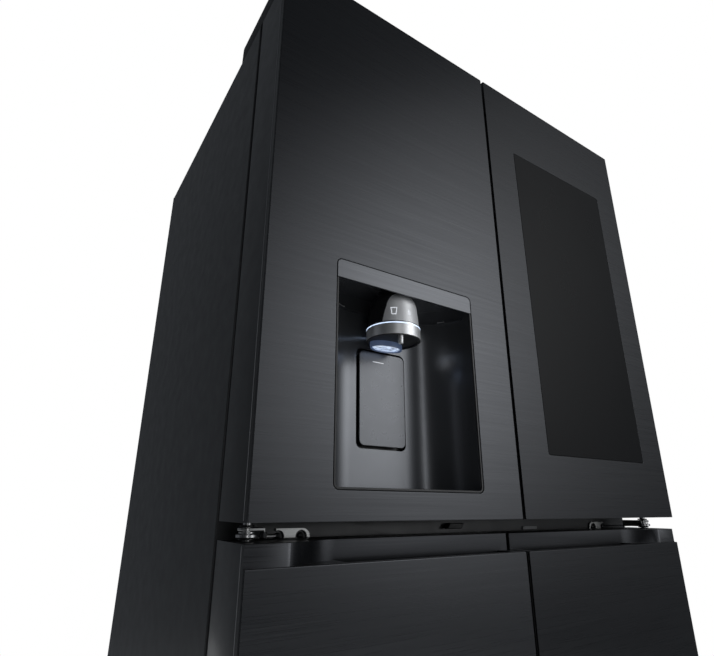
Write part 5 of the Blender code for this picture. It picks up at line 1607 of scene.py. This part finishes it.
    def make_roller(self, name):
        place = Box(f"roller_{name}")
        x, y, z = place.middle
        radius, half = place.size.y / 2, 0.010
        profile = [(0, -half), (0.0085, -half), (0.0095, -half + 0.0015), (radius * 0.72, -half + 0.0020)]
        profile += [
            (radius - 0.0030, -half + 0.0002), (radius - 0.0006, -half + 0.0012), (radius, -half + 0.0030)
        ]
        profile += [(r, -h) for r, h in reversed(profile)]
        wheel = lathe(f"roller_wheel_{name}", profile, (x, y, z), "X", 64)
        put(smooth(wheel, 35), f"roller_{name}", "black_plastic", "plastic", f"roller_{name}")
        reach = place.size.x / 2
        profile = [(0, -reach), (0.0034, -reach), (0.0040, -reach + 0.0006)]
        profile += [(r, -h) for r, h in reversed(profile)]
        pin = lathe(f"roller_axle_{name}", profile, (x, y, z), "X", 32)
        put(smooth(pin, 35), f"roller_{name}", "zinc_steel", "washer")
        boss = [(0, -0.0012), (0.0022, -0.0012), (0.0026, 0), (0.0022, 0.0012), (0, 0.0012)]
        for number in range(5):
            angle = 2 * pi * number / 5
            spot = (x, y + radius * 0.58 * cos(angle), z + radius * 0.58 * sin(angle))
            for end, face in enumerate((x - half + 0.0018, x + half - 0.0018)):
                hub = lathe(f"roller_boss_{name}_{number}_{end}", boss, (face, spot[1], spot[2]), "X", 20)
                put(smooth(hub, 40), f"roller_{name}", "black_plastic", "plastic")

    def make_foot(self, name):
        place = Box(f"leveling_foot_{name}")
        x, y, _ = place.middle
        radius, top = place.size.x / 2, place.z[1]
        profile = [
            (0, 0), (radius - 0.0014, 0), (radius, 0.0014), (radius, 0.0052), (radius - 0.0016, 0.0068)
        ]
        profile += [(radius * 0.62, 0.0086), (radius * 0.60, 0.0120), (0.0060, 0.0122)]
        pad = lathe(f"foot_pad_{name}", profile + [(0, 0.0122)], (x, y, 0), sides=48)
        put(smooth(pad, 35), f"leveling_foot_{name}", "black_plastic", "plastic", f"leveling_foot_{name}")
        nut = [(0, 0), (0.0098, 0), (0.0102, 0.0005), (0.0102, 0.0055), (0.0094, 0.0062), (0, 0.0062)]
        nut = lathe(f"foot_hex_{name}", nut, (x, y, 0.0123), sides=6)
        put(soften(nut, 0.0004, 2), f"leveling_foot_{name}", "black_plastic", "washer")
        thread = []
        pitch, base = 0.00125, 0.0186
        turns = int((top - base - 0.001) / pitch)
        for number in range(turns):
            level = number * pitch
            thread += [(0.0050, level), (0.0058, level + pitch * 0.38), (0.0058, level + pitch * 0.5)]
        end = turns * pitch
        profile = [(0, 0)] + thread + [(0.0050, end), (0.0042, top - base), (0, top - base)]
        stud = lathe(f"foot_stud_{name}", profile, (x, y, base), sides=40)
        put(smooth(stud, 25), f"leveling_foot_{name}", "black_plastic", "washer")


# ---------------------------------------------------------------- inside
SHELVES = ("shelf_top", "shelf_middle", "crisper_cover")


class FRIDGE_OT_compartments(bpy.types.Operator):
    """Makes the moulded liners, shelf rails, air duct with its vents and the compartment lamps"""

    bl_idname = "fridge.compartments"
    bl_label = "Compartments"

    def execute(self, context):
        recast(
            "fridge_liner", "fridge_lining", "cabinet", "white_plastic", "liner", 0.0006,
            (0.003, self.is_inner),
        )
        for name in ("left", "right"):
            recast(
                f"freezer_liner_{name}", f"freezer_lining_{name}", "cabinet", "white_plastic", "liner",
                0.0006, (0.0028, self.is_inner),
            )
        self.make_duct()
        self.make_rails()
        self.make_lamps()
        return {"FINISHED"}

    def is_inner(self, a, b):
        """Whether an edge lies deep inside a compartment, away from its mouth."""
        return min(a.y, b.y) > behind(0.125)

    def make_duct(self):
        place = Box("air_duct")
        middle, half = place.middle.x, 0.050
        slots = []
        count = 6
        pitch = place.size.z / (count + 1)
        for number in range(count):
            z = place.z[0] + (number + 1) * pitch
            for row in (-1, 0, 1):
                slots.append(round_rect(about(middle, half), about(z + row * 0.0066, 0.0020), 0.0019, 5))
        outline = round_rect(widen(place.x, -0.0002), widen(place.z, -0.0004), 0.010, 6)
        face = plate("duct_face", outline, "Y", (place.y[0], place.y[0] + 0.0030), slots)
        put(soften(face, 0.0008, 2), "cabinet", "white_plastic", "liner", "air_duct")
        shell = stack(
            "duct_shell", place.x, place.z, 0.010,
            [
                (0.0002, place.y[0] + 0.0032), (0, place.y[0] + 0.006), (0, place.y[1]), (0.003, place.y[1]),
                (0.003, place.y[0] + 0.0032),
            ],
            "Y", True,
        )
        put(shell, "cabinet", "white_plastic", "liner")
        # A black plate inside the duct behind the slots: painted shade in the duct.
        outline = round_rect(widen(place.x, -0.0034), widen(place.z, -0.0034), 0.007, 4)
        rear = plate("duct_shade_plate", outline, "Y", (place.y[1] - 0.010, place.y[1] - 0.008))
        put(rear, "cabinet", "black_plastic", "plastic")

    def make_rails(self):
        """Ledges moulded into the side walls under each shelf."""
        wall = Box("shelf_top")
        for node in SHELVES:
            shelf = Box(node)
            rail_y = (shelf.y[0] + 0.010, shelf.y[1] - 0.004)
            rail_z = (shelf.z[0] - 0.0120, shelf.z[0] - 0.0006)
            for name, side in SIDES:
                edge = wall.x[0] if side < 0 else wall.x[1]
                inner, outer = edge - side * 0.0120, edge - side * 0.0004
                profile = [(0.0, inner), (0.0, outer - side * 0.001), (0.001, outer)]
                rail = stack(f"{node}_rail_{name}", rail_y, rail_z, 0.0035, profile, "X")
                if node == "crisper_cover":
                    rail.data.transform(Matrix.Translation((0, 0, 0.0186)))
                put(rail, "cabinet", "white_plastic", "liner")

    def make_lamps(self):
        """Frosted lamp covers in the ceiling of the fridge compartment."""
        ceiling = Box("fridge_liner").z[1] - 0.002
        frame_profile = [(0.0, 0.0004), (0.0, 0.0022), (0.0008, 0.0030), (0.0052, 0.0030), (0.0056, 0.0004)]
        for number, x in enumerate((-0.16, 0.16)):
            lamp = stack(
                f"ceiling_lamp_{number}", about(x, 0.060), depths(0.28, 0.36), 0.012,
                [
                    (0.004, ceiling - 0.0050), (0.001, ceiling - 0.0040), (0, ceiling - 0.0020),
                    (0, ceiling - 0.0004),
                ],
            )
            put(lamp, "cabinet", "light_lens", "lamp")
            bezel = stack(
                f"ceiling_lamp_bezel_{number}", about(x, 0.066), depths(0.274, 0.366), 0.016,
                [(inset, ceiling - height) for inset, height in frame_profile], "Z", True,
            )
            put(bezel, "cabinet", "white_plastic", "liner")


class FRIDGE_OT_shelves(bpy.types.Operator):
    """Makes the glass shelves with their trims, the crisper drawers and the freezer drawers"""

    bl_idname = "fridge.shelves"
    bl_label = "Shelves and Drawers"

    def execute(self, context):
        for node in SHELVES:
            self.make_shelf(node)
        for side in ("left", "right"):
            self.make_drawer(f"crisper_drawer_{side}", "tray")
            for level in ("upper", "lower"):
                self.make_drawer(f"freezer_drawer_{side}_{level}", "frost")
        return {"FINISHED"}

    def make_shelf(self, node):
        """A pane with rounded edges, a rounded front trim and a raised rear stop."""
        place = Box(node)
        low, high = place.z
        trim, bar = 0.014, 0.010
        outline = round_rect(place.x, (place.y[0] + trim - 0.001, place.y[1] - bar), 0.003, 4)
        pane = plate(node + "_pane", outline, "Z", (low + 0.0010, high - 0.0010))
        put(soften(pane, 0.0006, 2), "cabinet", "clear_glass", "shelf", node)
        section = [
            (-0.0020, 0.0), (-0.0004, 0.0032), (0.0012, 0.0050), (0.0046, 0.0058), (trim, 0.0056),
            (trim, 0.0005),
        ]
        front = [(place.y[0] + 0.0020 + y, low + z) for y, z in section]
        piece = plate(node + "_trim", front + [(place.y[0] + 0.004, low)], "X", place.x)
        put(soften(piece, 0.0008, 3), "cabinet", "white_plastic", "silver_trim")
        stop = block(
            node + "_stop", place.x, (place.y[1] - bar + 0.0002, place.y[1]), (low, high), 0.001, "X"
        )
        put(soften(stop, 0.0008, 3), "cabinet", "white_plastic", "liner")

    def make_drawer(self, node, finish):
        """A clear tray with rounded corners, and a moulded pull along the top of its front."""
        place = Box(node)
        piece = tray(
            node + "_tray", place.x, (place.y[0] + 0.003, place.y[1]), place.z, 0.0026, 0.014, 0.007, 0.0,
            0.0022,
        )
        put(piece, "cabinet", "clear_plastic", finish, node)
        high = place.z[1]
        pull = stack(
            node + "_pull", widen(place.x, -0.004), (high - 0.034, high - 0.0035), 0.007,
            [
                (0.0, place.y[0] + 0.0028), (0.0, place.y[0] + 0.0012), (0.0012, place.y[0] + 0.0002),
                (0.0060, place.y[0] + 0.0002), (0.0090, place.y[0] + 0.0020),
            ],
            "Y",
        )
        put(pull, "cabinet", "clear_plastic", "silver_trim")


class FRIDGE_OT_door_fittings(bpy.types.Operator):
    """Makes the gaskets, door bins, ice compartment cover, inner pane and folding flap"""

    bl_idname = "fridge.door_fittings"
    bl_label = "Door Fittings"

    def execute(self, context):
        for body, _, _ in DOORS:
            self.make_gasket(body.replace("_door", "_gasket"), body)
        for node, body in (
            ("upper_left_bin", "upper_left_door"),
            ("upper_right_bin_lower", "upper_right_door"),
            ("upper_right_bin_upper", "upper_right_door"),
        ):
            self.make_bin(node, body)
        self.make_ice_cover()
        self.make_inner_pane()
        self.make_flap()
        return {"FINISHED"}

    def make_gasket(self, node, body):
        """A soft bellows: a magnet bead in front, a waist, and a lip that seals on the door."""
        place = Box(node)
        near, far = place.y
        width, depth = 0.014, far - near
        section = [
            (0.0020, near), (0.0004, near + depth * 0.20), (0.0022, near + depth * 0.40),
            (0.0006, near + depth * 0.58), (0.0004, near + depth * 0.84), (0.0018, far), (0.0116, far),
            (0.0136, near + depth * 0.84), (0.0134, near + depth * 0.58), (0.0118, near + depth * 0.40),
            (0.0136, near + depth * 0.20), (width - 0.002, near),
        ]
        seal = stack(node + "_bellows", place.x, place.z, 0.006, section, "Y", True, 5)
        put(seal, body, "gray_rubber", "rubber", node)

    def make_bin(self, node, body):
        """A clear door bin with a silver rail along its rim."""
        place = Box(node)
        piece = tray(node + "_tray", place.x, place.y, place.z, 0.0026, 0.016, 0.008, 0.0, 0.0016)
        put(piece, body, "clear_plastic", "tray", node)
        rail = stack(
            node + "_rail", widen(place.x, -0.0028), (place.y[0] + 0.003, place.y[1] - 0.0028), 0.013,
            [
                (0.0, place.z[1] - 0.014), (0.0, place.z[1] - 0.0012), (0.0010, place.z[1] - 0.0004),
                (0.0024, place.z[1] - 0.0012), (0.0024, place.z[1] - 0.014),
            ],
            "Z", True,
        )
        put(rail, body, "clear_plastic", "silver_trim")

    def make_ice_cover(self):
        place = Box("ice_compartment_cover")
        near, far = place.y
        cover = stack(
            "ice_door", place.x, place.z, 0.014,
            [
                (0.0, near), (0.0, far - 0.0040), (0.0012, far - 0.0012), (0.0040, far), (0.0200, far),
                (0.0240, far - 0.0030),
            ],
            "Y",
        )
        put(cover, "upper_left_door", "white_plastic", "liner", "ice_compartment_cover")
        side = place.x[1] - 0.034
        latch = stack(
            "ice_door_latch", about(side, 0.009), about(place.middle.z, 0.030), 0.005,
            [(0.0, far - 0.0028), (0.0, far + 0.0020), (0.0016, far + 0.0040), (0.0050, far + 0.0046)], "Y",
        )
        put(latch, "upper_left_door", "white_plastic", "silver_trim")

    def make_inner_pane(self):
        """The clear inner pane with a dark printed border, framed by a slim moulding."""
        place = Box("upper_right_inner_pane")
        pane = plate("inner_pane", round_rect(place.x, place.z, 0.003, 4), "Y", widen(place.y, -0.0002))
        put(soften(pane, 0.0005, 2), "upper_right_door", "clear_glass", "shelf", "upper_right_inner_pane")
        far = place.y[1]
        border = stack(
            "inner_pane_border", place.x, place.z, 0.003,
            [
                (0.0003, far + 0.0001), (0.0003, far + 0.0030), (0.0020, far + 0.0042),
                (0.0130, far + 0.0042), (0.0150, far + 0.0030), (0.0150, far + 0.0001),
            ],
            "Y", True,
        )
        put(border, "upper_right_door", "black_plastic", "plastic")

    def make_flap(self):
        """The flap between the doors: a dark moulding with a metal strip along its face."""
        recast("mullion_flap", "flap_bar", "mullion_flap", "door_core", "plastic", 0.0012)
        place = Box("mullion_flap")
        strip = block(
            "flap_face", (place.x[0] - 0.0006, place.x[0] + 0.0002),
            (place.y[0] + 0.0110, place.y[1] - 0.0030), (place.z[0] + 0.020, place.z[1] - 0.020), 0.002, "X",
        )
        put(soften(strip, 0.0002, 2), "mullion_flap", "satin_silver", "silver_trim")


# ---------------------------------------------------------------- the add-on's list
OPERATORS = (
    FRIDGE_OT_stage,
    FRIDGE_OT_door_fronts,
    FRIDGE_OT_door_bodies,
    FRIDGE_OT_recess,
    FRIDGE_OT_dispenser_head,
    FRIDGE_OT_middle_hinges,
    FRIDGE_OT_end_hinges,
    FRIDGE_OT_cabinet,
    FRIDGE_OT_machine_room,
    FRIDGE_OT_compartments,
    FRIDGE_OT_shelves,
    FRIDGE_OT_door_fittings,
)


class FRIDGE_PT_panel(bpy.types.Panel):
    """Lists the refrigerator's settings and operators"""

    bl_idname = "FRIDGE_PT_panel"
    bl_label = "Refrigerator"
    bl_space_type = "VIEW_3D"
    bl_region_type = "UI"
    bl_category = "Refrigerator"

    def draw(self, context):
        layout = self.layout
        for group in (context.scene.fridge_sizes, context.scene.fridge_colours):
            for name in group.__annotations__:
                layout.prop(group, name)
        for operator in OPERATORS:
            layout.operator(operator.bl_idname)


CLASSES = (FridgeColours, FridgeSizes, *OPERATORS, FRIDGE_PT_panel)


def register():
    for made in CLASSES:
        bpy.utils.register_class(made)
    bpy.types.Scene.fridge_colours = bpy.props.PointerProperty(type=FridgeColours)
    bpy.types.Scene.fridge_sizes = bpy.props.PointerProperty(type=FridgeSizes)


def unregister():
    del bpy.types.Scene.fridge_sizes
    del bpy.types.Scene.fridge_colours
    for made in reversed(CLASSES):
        bpy.utils.unregister_class(made)


def main():
    register()
    for operator in OPERATORS:
        area, name = operator.bl_idname.split(".")
        getattr(getattr(bpy.ops, area), name)()


if __name__ == "__main__":
    main()
